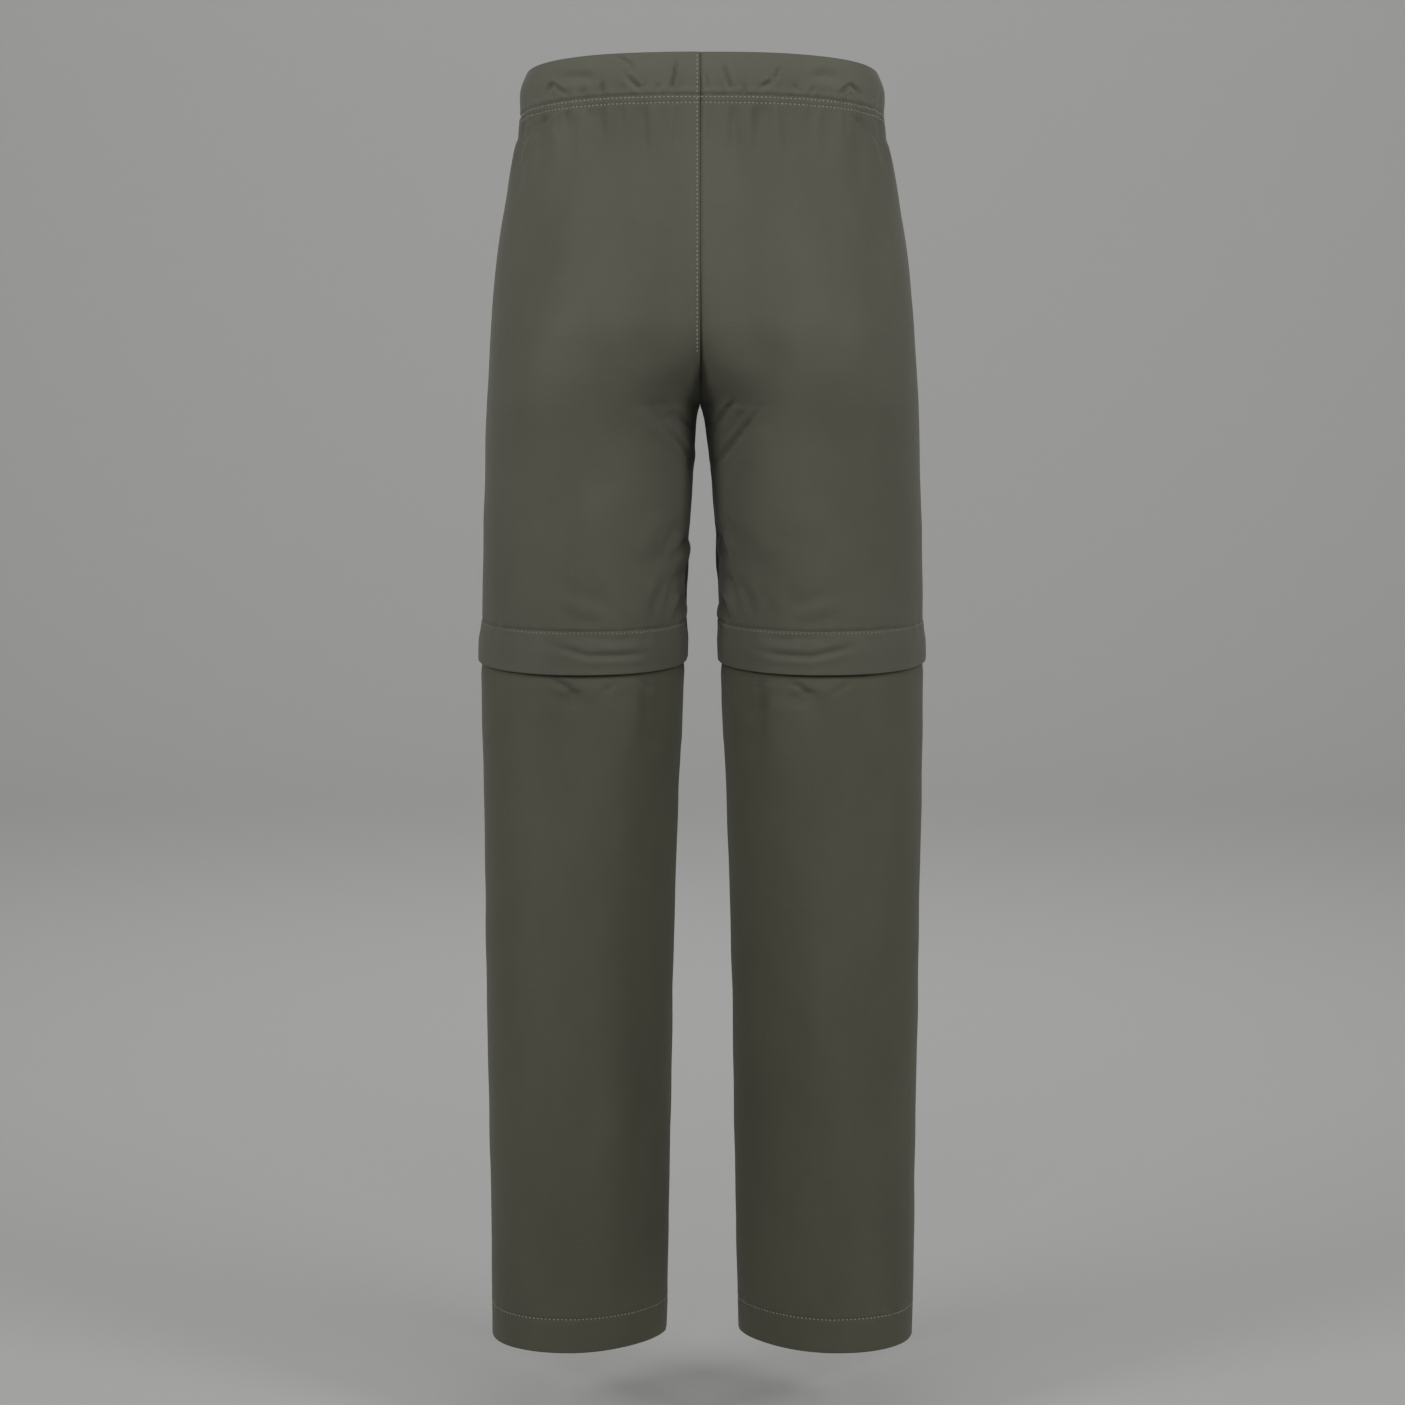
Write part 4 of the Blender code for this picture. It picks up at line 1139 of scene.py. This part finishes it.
@dataclass
class Waistband:
    """Half of the elastic waistband: a folded casing whose belly stands over its drawn-in seam."""

    form: Form
    coarse: float = 1.3
    wall: float = 2.4
    belly: float = 1.3
    tuck: float = 1.3

    def profile(self) -> Profile:
        """The section: a quarter round over the top on each face, a belly above and a tuck at the seam."""
        radius = self.wall / 2
        arc = np.linspace(0.0, np.pi / 2, 6)[:-1]
        top = BAND_TOP - radius + radius * np.cos(arc)
        straight = spaced(BAND_TOP - radius, BAND_SEAM + HALF_GAP, (BAND_SEAM,), 0.5, self.coarse)
        t = (BAND_TOP - radius - straight) / (BAND_TOP - radius - BAND_SEAM)
        bulge = self.belly * np.sin(np.pi * np.clip(t * 1.25, 0.0, 1.0))
        bulge = bulge - self.tuck * bell(1.0 - t, 0.055) - 0.2 * ease((t - 0.5) / 0.5)
        levels = np.concatenate((top, straight))
        outer = np.concatenate((-radius + radius * np.sin(arc), bulge))
        inner = np.concatenate((-radius - radius * np.sin(arc), np.minimum(bulge - 0.9, -self.wall)))
        return Profile(levels, outer, inner)

    def build(self, finishes: Finishes) -> Object:
        length = 435.0
        t = spaced(0.0, length, (0.0, CENTRE_ROW, length - CENTRE_ROW, length), 0.5, self.coarse) / length
        points, faces, uvs = shell(self.form, self.profile(), lambda levels: np.tile(t, (len(levels), 1)),
                                   False, 1.0)
        name = f"waistband_{self.form.side.word}_cloth"
        piece = make_object(name, points, faces, self.form.side, finishes.band, uvs)
        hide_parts(f"waistband_{self.form.side.word}")
        return piece


@dataclass
class UpperPanel:
    """A back or front panel, from the waist seam to the knee seam."""

    form: Form
    face: Face
    coarse: float = 2.2

    def profile(self) -> Profile:
        """The section: a thin wall whose two ends are pulled in at their seams."""
        top, bottom = BAND_SEAM - HALF_GAP, KNEE_SEAM + HALF_GAP
        levels = spaced(top, bottom, (top, *WAIST_ROWS, CROTCH_LEVEL, bottom), 0.5, self.coarse)
        dents = -1.5 * bell(top - levels, 0.8) - 0.7 * bell(levels - bottom, 1.6)
        for row in WAIST_ROWS:
            dents = dents - 0.35 * bell(levels - row, 0.8)
        return Profile(levels, dents, dents - CLOTH_WALL)

    def build(self, finishes: Finishes) -> Object:
        """Make the panel and work out its flat area."""
        places = face_shares(self.form, self.face, self.coarse)
        points, faces, uvs = shell(self.form, self.profile(), places, False, 1.0)
        node = f"{self.face.word}_{self.form.side.word}"
        piece = make_object(f"{node}_cloth", points, faces, self.form.side, finishes.upper, uvs)
        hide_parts(node)
        area = flat_area(self.form, self.face, BAND_SEAM, KNEE_SEAM)
        f"waistband_{self.form.side.word}_cloth"
        return piece


@dataclass
class LowerPanel:
    """A back or front panel of the zip-off lower leg, tucked under the flap and turned up at the hem."""

    form: Form
    face: Face
    coarse: float = 3.2
    hem_wall: float = 2.0

    def profile(self) -> Profile:
        """The section: in under the flap, thicker over the turned-up hem, and round at the fold."""
        radius = self.hem_wall / 2
        straight_end, top = HEM + radius, ZIP_END - HALF_GAP
        levels = spaced(top, straight_end, (top, FLAP_END - 10.0, HEM_ROW, HEM), 0.6, self.coarse)
        inset = TAPE_INSET * (1.0 - ease((ZIP_END - levels) / 22.0))
        dent = -0.45 * bell(levels - HEM_ROW, 1.1)
        outer = inset + dent
        wall = CLOTH_WALL + (self.hem_wall - CLOTH_WALL) * ease((HEM_ROW + 1.0 - levels) / 1.5)
        arc = np.linspace(0.0, np.pi / 2, 6)[1:]
        levels = np.concatenate((levels, straight_end - radius * np.sin(arc)))
        outer = np.concatenate((outer, -radius + radius * np.cos(arc)))
        inner = np.concatenate((inset + dent - wall, -radius - radius * np.cos(arc)))
        return Profile(levels, outer, inner)

    def build(self, finishes: Finishes) -> Object:
        """Make the panel and work out its flat area."""
        places = face_shares(self.form, self.face, self.coarse)
        points, faces, uvs = shell(self.form, self.profile(), places, False, 1.0)
        node = f"lower_{self.face.word}_{self.form.side.word}"
        piece = make_object(f"{node}_cloth", points, faces, self.form.side, finishes.lower, uvs)
        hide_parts(node)
        area = flat_area(self.form, self.face, ZIP_END, HEM)
        f"knee_zip_{self.form.side.word}_tape"
        return piece


@dataclass
class KneeFlap:
    """The doubled flap over the zip: a ring that swells below its seam and is folded at its lower edge."""

    form: Form
    columns: int = 230
    wall: float = 1.4
    seam_lift: float = 0.3
    lift: float = 2.2
    slider_lift: float = 4.2
    slider_spread: float = 30.0

    def over_slider(self, levels: Array, shares: Array) -> Array:
        """Extra lift over the slider: a bell round the leg that grows below the seam."""
        length = self.form.around(levels, np.zeros((len(levels), 1)))[1][:, None]
        fade = ease((KNEE_SEAM - levels) / 8.0)[:, None]
        return self.slider_lift * fade * bell((shares - SLIDER_SHARE) * length, self.slider_spread)

    def profile(self) -> Profile:
        """The section: narrow at the seam, a stitched dent, a swell, and a round folded lower edge."""
        radius = self.wall / 2
        levels = spaced(KNEE_SEAM - HALF_GAP, FLAP_END + radius, (KNEE_SEAM, FLAP_ROW), 0.45, 1.3)
        t = (KNEE_SEAM - levels) / (KNEE_SEAM - FLAP_END)
        outer = self.seam_lift - 0.9 * bell(KNEE_SEAM - levels, 0.7)
        outer = outer + (self.lift - self.seam_lift) * ease(t / 0.6)
        outer = outer - 0.4 * bell(levels - FLAP_ROW, 0.8)
        arc = np.linspace(0.0, np.pi / 2, 6)[1:]
        rim = outer[-1] - radius
        levels = np.concatenate((levels, FLAP_END + radius - radius * np.sin(arc)))
        inner = np.concatenate((outer - self.wall, rim - radius * np.cos(arc)))
        outer = np.concatenate((outer, rim + radius * np.cos(arc)))
        return Profile(levels, outer, inner)

    def build(self, finishes: Finishes) -> Object:
        points, faces, uvs = shell(self.form, self.profile(), ring_shares(self.columns), True, 1.0,
                                   self.over_slider)
        side = self.form.side
        piece = make_object(f"knee_flap_{side.word}_cloth", points, faces, side, finishes.flap, uvs)
        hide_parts(f"knee_flap_{side.word}")
        f"back_{side.word}_cloth"
        return piece


@dataclass
class KneeZip:
    """The zip under the flap: a ring of tape and a coil chain along its middle."""

    form: Form
    columns: int = 200
    tooth_pitch: float = 1.8
    tape_wall: float = 0.9

    def build_tape(self, finishes: Finishes) -> Object:
        levels = np.linspace(KNEE_SEAM - HALF_GAP, ZIP_END + HALF_GAP, 18)
        outer = -1.4 + (TAPE_INSET + 1.4) * ease((KNEE_SEAM - levels) / 4.0)
        profile = Profile(levels, outer, outer - self.tape_wall)
        points, faces, uvs = shell(self.form, profile, ring_shares(self.columns), True, 0.3)
        side = self.form.side
        piece = make_object(f"knee_zip_{side.word}_tape", points, faces, side, finishes.tape, uvs)
        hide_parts(f"knee_zip_{side.word}")
        f"back_{side.word}_cloth"
        return piece

    def build_chain(self, finishes: Finishes) -> Object:
        """Make the teeth: short rounded bars across the chain, one for each pitch round the leg."""
        level = np.array([CHAIN_LEVEL])
        length = float(self.form.around(level, np.zeros((1, 1)))[1][0])
        count = round(length / self.tooth_pitch)
        shares = (np.arange(count)[None, :] + 0.5) / count
        offset = np.where(np.arange(count) % 2 == 0, -0.25, 0.25)
        centres = self.form.cloth(level, shares, np.full(shares.shape, TAPE_INSET + 0.55), 0.3)[0]
        out = self.form.normals(level, shares)[0]
        up = np.tile(np.array([0.0, 0.0, 1.0]), (count, 1))
        along = unit(np.cross(up, out))
        points, faces = capsules(centres + up * offset[:, None], up, along, out, 1.6, 0.62, 0.55, 6, 4)
        side = self.form.side
        piece = make_object(f"knee_zip_{side.word}_chain", points, faces, side, finishes.coil, sharp=60.0)
        return piece


def capsules(centres: Array, along: Array, across: Array, out: Array, half_length: float, half_width: float,
             half_height: float, sides: int, rings: int, sink: float = 0.0) -> tuple[Array, Faces]:
    """Many small closed ellipsoid-ended bars as one mesh.

    Each bar is a grid of rings by sides: its half width along the bar falls off as the square root of
    1 - t^4, so the ends are round and the middle is even.

    Args:
        centres: Count by 3.
        along: Unit directions of the bars.
        across: Unit directions to the side.
        out: Unit directions outwards.
        half_length: From the middle to each end.
        half_width: Half the size across.
        half_height: Half the size outwards.
        sides: Points round a ring.
        rings: Rings along a bar.
        sink: How far the bar's ends arch inwards.

    Returns:
        Points and quads.
    """
    t = np.sin(np.linspace(-0.5, 0.5, rings) * np.pi * 0.97)
    swell = (1.0 - t**4) ** 0.5
    angles = np.arange(sides) * 2 * np.pi / sides
    count = len(centres)
    grid = (centres[:, None, None, :] + along[:, None, None, :] * (half_length * t)[None, :, None, None]
            - out[:, None, None, :] * (sink * t**2)[None, :, None, None]
            + across[:, None, None, :] * (half_width * swell[:, None] * np.cos(angles))[None, :, :, None]
            + out[:, None, None, :] * (half_height * swell[:, None] * np.sin(angles))[None, :, :, None])
    faces = np.concatenate((quads(rings, sides, False, True), cap_quads(sides, 0, False),
                            cap_quads(sides, (rings - 1) * sides, True)))
    faces = (faces[None, :, :] + (np.arange(count) * rings * sides)[:, None, None]).reshape(-1, 4)
    handed = np.einsum("ij,ij->i", np.cross(across, out), along)
    if handed.mean() > 0:
        faces = faces[:, ::-1]
    return grid.reshape(-1, 3), faces


def cap_quads(sides: int, start: int, turned: bool) -> Faces:
    """Close an even ring of points with a ladder of quads across it."""
    half = sides // 2
    i = np.arange(half - 1)
    caps = np.stack((i, i + 1, sides - 2 - i, sides - 1 - i), axis=-1) + start
    return caps if turned else caps[:, ::-1]


def read_along(values: Array, walked: Array, places: Array) -> Array:
    """Values of a traced line, count by 3, at lengths walked along it."""
    return np.stack([np.interp(places, walked, column) for column in values.T], axis=1)


@dataclass(frozen=True)
class StitchRow:
    """A row of stitches: the slot of its cloth, its ends, its lift and its distance from the centre seam."""

    name: str
    slot: str
    level_from: float
    level_to: float
    share_from: float
    share_to: float
    lift: float
    from_centre: float = 0.0


@dataclass
class Stitching:
    """The rows of lockstitch on one side, each stitch a short bar of thread sunk a little in the cloth."""

    form: Form
    flap: KneeFlap
    pitch: float = 3.35
    stitch: float = 1.95
    thickness: float = 0.9
    sink: float = 0.35

    def rows(self) -> tuple[StitchRow, ...]:
        """The rows: twin needle under the waist seam, the knee flap's, the hem's, and the centre seams'."""
        upper, lower = WAIST_ROWS
        rows = [
            StitchRow("waist_stitch_upper", "upper_cloth", upper, upper, 0.0, 1.0, -0.2),
            StitchRow("waist_stitch_lower", "upper_cloth", lower, lower, 0.0, 1.0, -0.2),
            StitchRow("flap_stitch", "flap_cloth", FLAP_ROW, FLAP_ROW, 0.0, 1.0, 0.0),
            StitchRow("hem_stitch", "lower_cloth", HEM_ROW, HEM_ROW, 0.0, 1.0, -0.3),
        ]
        if self.form.side is Side.LEFT:
            low, high = CROTCH_LEVEL + 40.0, BAND_TOP - 1.6
            for face in Face:
                share = float(face.value)
                rows += [
                    StitchRow(f"{face.word}_seam_stitch", "upper_cloth", BAND_SEAM - 1.0, low,
                              share, share, 0.1, CENTRE_ROW),
                    StitchRow(f"{face.word}_band_stitch", "waistband_cloth", high, BAND_SEAM + 1.0,
                              share, share, 0.0, CENTRE_ROW),
                ]
        return tuple(rows)

    def trace(self, row: StitchRow) -> tuple[Array, Array]:
        """Levels and shares of many places along a row."""
        steps = 400
        t = np.linspace(0.0, 1.0, steps)
        levels = row.level_from + t * (row.level_to - row.level_from)
        shares = row.share_from + t * (row.share_to - row.share_from)
        if row.from_centre:
            shift = self.form.share_at(levels, row.from_centre)
            shares = shares + np.where(row.share_from < 0.5, shift, -shift)
        return levels, shares

    def lifts(self, row: StitchRow, levels: Array, shares: Array) -> Array:
        """How far each place of a row stands off the form, with the band's or the flap's own swell."""
        if row.slot == "waistband_cloth":
            return Waistband(self.form).profile().lift_at(levels) + 0.1
        if row.slot == "flap_cloth":
            lifts = self.flap.profile().lift_at(levels) + 0.15
            return lifts + self.flap.over_slider(levels, shares[:, None])[:, 0]
        return np.full(levels.shape, row.lift)

    def build(self, finishes: Finishes) -> list[Object]:
        """Make each row as one mesh: bars placed by equal lengths along the traced line."""
        pieces = []
        for row in self.rows():
            levels, shares = self.trace(row)
            lifts = self.lifts(row, levels, shares)
            line = self.form.cloth(levels, shares[:, None], lifts[:, None])[:, 0]
            out = self.form.normals(levels, shares[:, None])[:, 0]
            walked = np.concatenate(([0.0], np.cumsum(np.linalg.norm(np.diff(line, axis=0), axis=1))))
            count = int(walked[-1] / self.pitch)
            places = (np.arange(count) + 0.5) * walked[-1] / count
            centres, outward = read_along(line, walked, places), read_along(out, walked, places)
            along = unit(read_along(line, walked, places + 0.6) - read_along(line, walked, places - 0.6))
            across = unit(np.cross(outward, along))
            points, faces = capsules(centres, along, across, outward, self.stitch / 2, self.thickness / 2,
                                     self.thickness / 2, 6, 5, self.sink)
            side = self.form.side
            thread = finishes.dull_thread if row.slot == "flap_cloth" else finishes.thread
            piece = make_object(f"{row.name}_{side.word}", points, faces, side, thread, sharp=80.0)
            pieces.append(piece)
        return pieces


@dataclass
class Slider:
    """The zip's slider with its bridge, and the folded tape that pulls it."""

    form: Form
    base_lift: float = -0.7
    length: float = 12.0
    width: float = 8.6
    nose: float = 5.4
    height: float = 2.8
    pull_width: float = 10.0
    pull_length: float = 29.0
    pull_wall: float = 0.65

    def frame(self) -> tuple[Array, Array, Array, Array]:
        """Origin and axes along the chain, up and out, at the slider's place on the tape."""
        level, share = np.array([CHAIN_LEVEL]), np.array([[SLIDER_SHARE]])
        origin = self.form.cloth(level, share, np.array([[self.base_lift]]), 0.0)[0, 0]
        out = self.form.normals(level, share)[0, 0] * np.array([1.0, 1.0, 0.0])
        out /= np.linalg.norm(out)
        up = np.array([0.0, 0.0, 1.0])
        return origin, np.cross(up, out), up, out

    def body(self) -> tuple[Array, Faces]:
        """The body: ovals stacked outwards, narrow at the nose, with a rounded top edge."""
        origin, along, up, out = self.frame()
        sides, square = 40, 0.45
        angles = np.arange(sides) * 2 * np.pi / sides
        cosines, sines = np.cos(angles), np.sin(angles)
        x = np.sign(cosines) * np.abs(cosines) ** square * self.length / 2
        half = np.interp(x, (-self.length / 2, self.length / 6), (self.nose / 2, self.width / 2))
        y = np.sign(sines) * np.abs(sines) ** square * half
        heights = np.array([0.0, 0.25, 0.8, 1.6, 2.2, 2.6, self.height])
        shrink = np.array([0.93, 1.0, 1.0, 0.97, 0.93, 0.84, 0.70])
        x, y = x * shrink[:, None], y * shrink[:, None]
        grid = origin + along * x[..., None] + up * y[..., None] + out * heights[:, None, None]
        rings = len(heights)
        faces = quads(rings, sides, False, True)
        caps = np.concatenate((cap_quads(sides, 0, True), cap_quads(sides, (rings - 1) * sides, False)))
        return grid.reshape(-1, 3), np.concatenate((faces[:, ::-1], caps[:, ::-1]))

    def build(self, finishes: Finishes) -> list[Object]:
        """Make the slider and the pull, which replace their solids."""
        side = self.form.side
        points, faces = self.body()
        body = make_object(f"zip_slider_{side.word}_body", points, faces, side, finishes.slider, sharp=40.0)
        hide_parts(f"zip_slider_{side.word}")
        points, faces, uvs = self.folded_tape()
        pull = make_object(f"zip_pull_{side.word}_tape", points, faces, side, finishes.pull, uvs)
        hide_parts(f"zip_pull_{side.word}")
        f"zip_slider_{side.word}_body"
        return [body, pull]

    def folded_tape(self) -> tuple[Array, Faces, Array]:
        """The pull: a strip carried down the outside, round a small fold at the bottom and back up inside."""
        origin, along, up, out = self.frame()
        top = -self.width / 2 - 0.3
        low, gap = top - self.pull_length + 0.5, 0.15
        turn = np.linspace(0.0, np.pi, 9)
        radius = (self.pull_wall + gap) / 2
        run = np.linspace(top, low + radius, 14)[:-1]
        heights = np.concatenate((run, low + radius - radius * np.sin(turn), run[::-1]))
        middle = 0.9 + self.pull_wall + gap / 2
        outs = np.concatenate((np.full(len(run), middle + radius), middle + radius * np.cos(turn),
                               np.full(len(run), middle - radius)))
        outs = outs + 0.25 * np.sin((heights - top) / 6.0)
        step = unit(np.stack((np.gradient(heights), np.gradient(outs)), axis=1))
        cross = np.array([-1.0, -0.5, 0.5, 1.0]) * self.pull_width / 2
        spine = np.stack((heights, outs), axis=1)
        normal = np.stack((-step[:, 1], step[:, 0]), axis=1)
        outer, inner = spine + normal * self.pull_wall / 2, spine - normal * self.pull_wall / 2
        ring_across = np.concatenate((cross, cross[::-1]))
        is_outer = np.concatenate((np.ones(4), np.zeros(4)))[None, :, None]
        place = outer[:, None, :] * is_outer + inner[:, None, :] * (1.0 - is_outer)
        points = origin + along * ring_across[None, :, None] + up * place[..., :1] + out * place[..., 1:]
        rows = len(spine)
        faces = quads(rows, 8, False, True)
        ends = np.concatenate((cap_quads(8, 0, False), cap_quads(8, (rows - 1) * 8, True)))
        uvs = np.stack(np.broadcast_arrays(heights[:, None] * MM, ring_across[None, :] * MM), axis=-1)
        return points.reshape(-1, 3), np.concatenate((faces, ends)), uvs


@dataclass
class Studio:
    """The pale floor, soft lights and the camera of the back view."""

    distance: float = 3.2
    eye: float = -0.16687
    tilt: float = math.radians(5.5)
    focal: float = 102.97
    floor: float = -1.06

    def build(self) -> None:
        """Make the floor and its swept-up backdrop, the lights and the camera."""
        self.make_floor()
        self.make_camera()
        self.light("key", (0.0, 2.2, 1.6), (0.0, 0.0, -0.1), (2.4, 1.2), 20.5)
        for name, sign in (("left", 1.0), ("right", -1.0)):
            self.light(f"high_{name}", (sign * 2.0, 1.8, 1.0), (0.0, 0.0, 0.0), (1.0, 1.4), 13.0, 110.0)
            self.light(f"side_{name}", (sign * 2.4, 0.0, 0.2), (0.0, 0.0, -0.2), (0.9, 2.0), 6.6)
        self.light("front_key", (0.0, -2.4, 1.4), (0.0, 0.0, -0.2), (2.4, 1.2), 27.0)
        self.light("back_wash", (0.0, -3.0, 2.6), (0.0, -6.0, 0.4), (3.0, 1.0), 62.0)
        world = bpy.data.worlds.new("studio")
        world.use_nodes = True
        world.node_tree.nodes["Background"].inputs["Color"].default_value = (0.8, 0.82, 0.85, 1.0)
        world.node_tree.nodes["Background"].inputs["Strength"].default_value = 0.02
        bpy.context.scene.world = world

    def make_floor(self) -> None:
        """The floor: a round sheet of paper that sweeps up all round, far from the garment."""
        columns = 96
        angles = np.linspace(0.0, 2 * np.pi, columns, endpoint=False)
        turn = np.linspace(0.0, np.pi / 2, 14)
        radii = np.concatenate(([0.02, 3.4], 4.4 + 1.6 * np.sin(turn), [6.0]))
        heights = np.concatenate(([0.0, 0.0], 1.6 - 1.6 * np.cos(turn), [5.0])) + self.floor
        places = (radii[:, None] * np.cos(angles), radii[:, None] * np.sin(angles), heights[:, None])
        grid = np.stack(np.broadcast_arrays(*places), axis=-1).reshape(-1, 3)
        mesh = bpy.data.meshes.new("floor")
        faces = quads(len(radii), columns, False, True)[:, ::-1].tolist() + [list(range(columns))]
        mesh.from_pydata(grid.tolist(), [], faces)
        mesh.shade_smooth()
        mesh.materials.append(StageFinish().material())
        floor = bpy.data.objects.new("floor", mesh)
        bpy.context.scene.collection.objects.link(floor)

    def make_camera(self) -> None:
        """The camera: behind the garment, a little below the waist, tilted slightly down."""
        data = bpy.data.cameras.new("camera")
        data.lens = self.focal
        data.sensor_width = 36.0
        camera = bpy.data.objects.new("camera", data)
        camera.location = (0.0, self.distance, self.eye)
        camera.rotation_euler = (math.pi / 2 - self.tilt, 0.0, math.pi)
        bpy.context.scene.collection.objects.link(camera)
        bpy.context.scene.camera = camera

    def light(self, name: str, place: Vector, target: Vector,
              size: tuple[float, float], power: float, spread: float = 180.0) -> None:
        """A soft rectangular light aimed at a target; a spread under 180 degrees narrows its beam."""
        data = bpy.data.lights.new(name, "AREA")
        data.shape = "RECTANGLE"
        data.spread = math.radians(spread)
        data.size, data.size_y = size
        data.energy = power
        lamp = bpy.data.objects.new(name, data)
        aim = np.array(target) - np.array(place)
        lamp.location = place
        yaw = math.atan2(aim[1], aim[0]) - math.pi / 2
        pitch = math.atan2(aim[2], math.hypot(aim[0], aim[1])) + math.pi / 2
        lamp.rotation_euler = (pitch, 0.0, yaw)
        lamp.visible_camera = False
        bpy.context.scene.collection.objects.link(lamp)


def main() -> None:
    """Build every sub-assembly in order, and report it."""
    logging.basicConfig(level=logging.INFO, format="%(name)s: %(message)s")
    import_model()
    Studio().build()
    finishes = Finishes()
    for side in Side:
        form = Form(side)
        flap = KneeFlap(form)
        pieces = [Waistband(form).build(finishes)]
        pieces += [UpperPanel(form, face).build(finishes) for face in Face]
        zip_ring = KneeZip(form)
        pieces += [flap.build(finishes), zip_ring.build_tape(finishes), zip_ring.build_chain(finishes)]
        pieces += Slider(form).build(finishes)
        pieces += [LowerPanel(form, face).build(finishes) for face in Face]
        pieces += Stitching(form, flap).build(finishes)
        for piece in pieces:
            LOG.info("%s: %d faces", piece.name, len(piece.data.polygons))


if __name__ == "__main__":
    main()
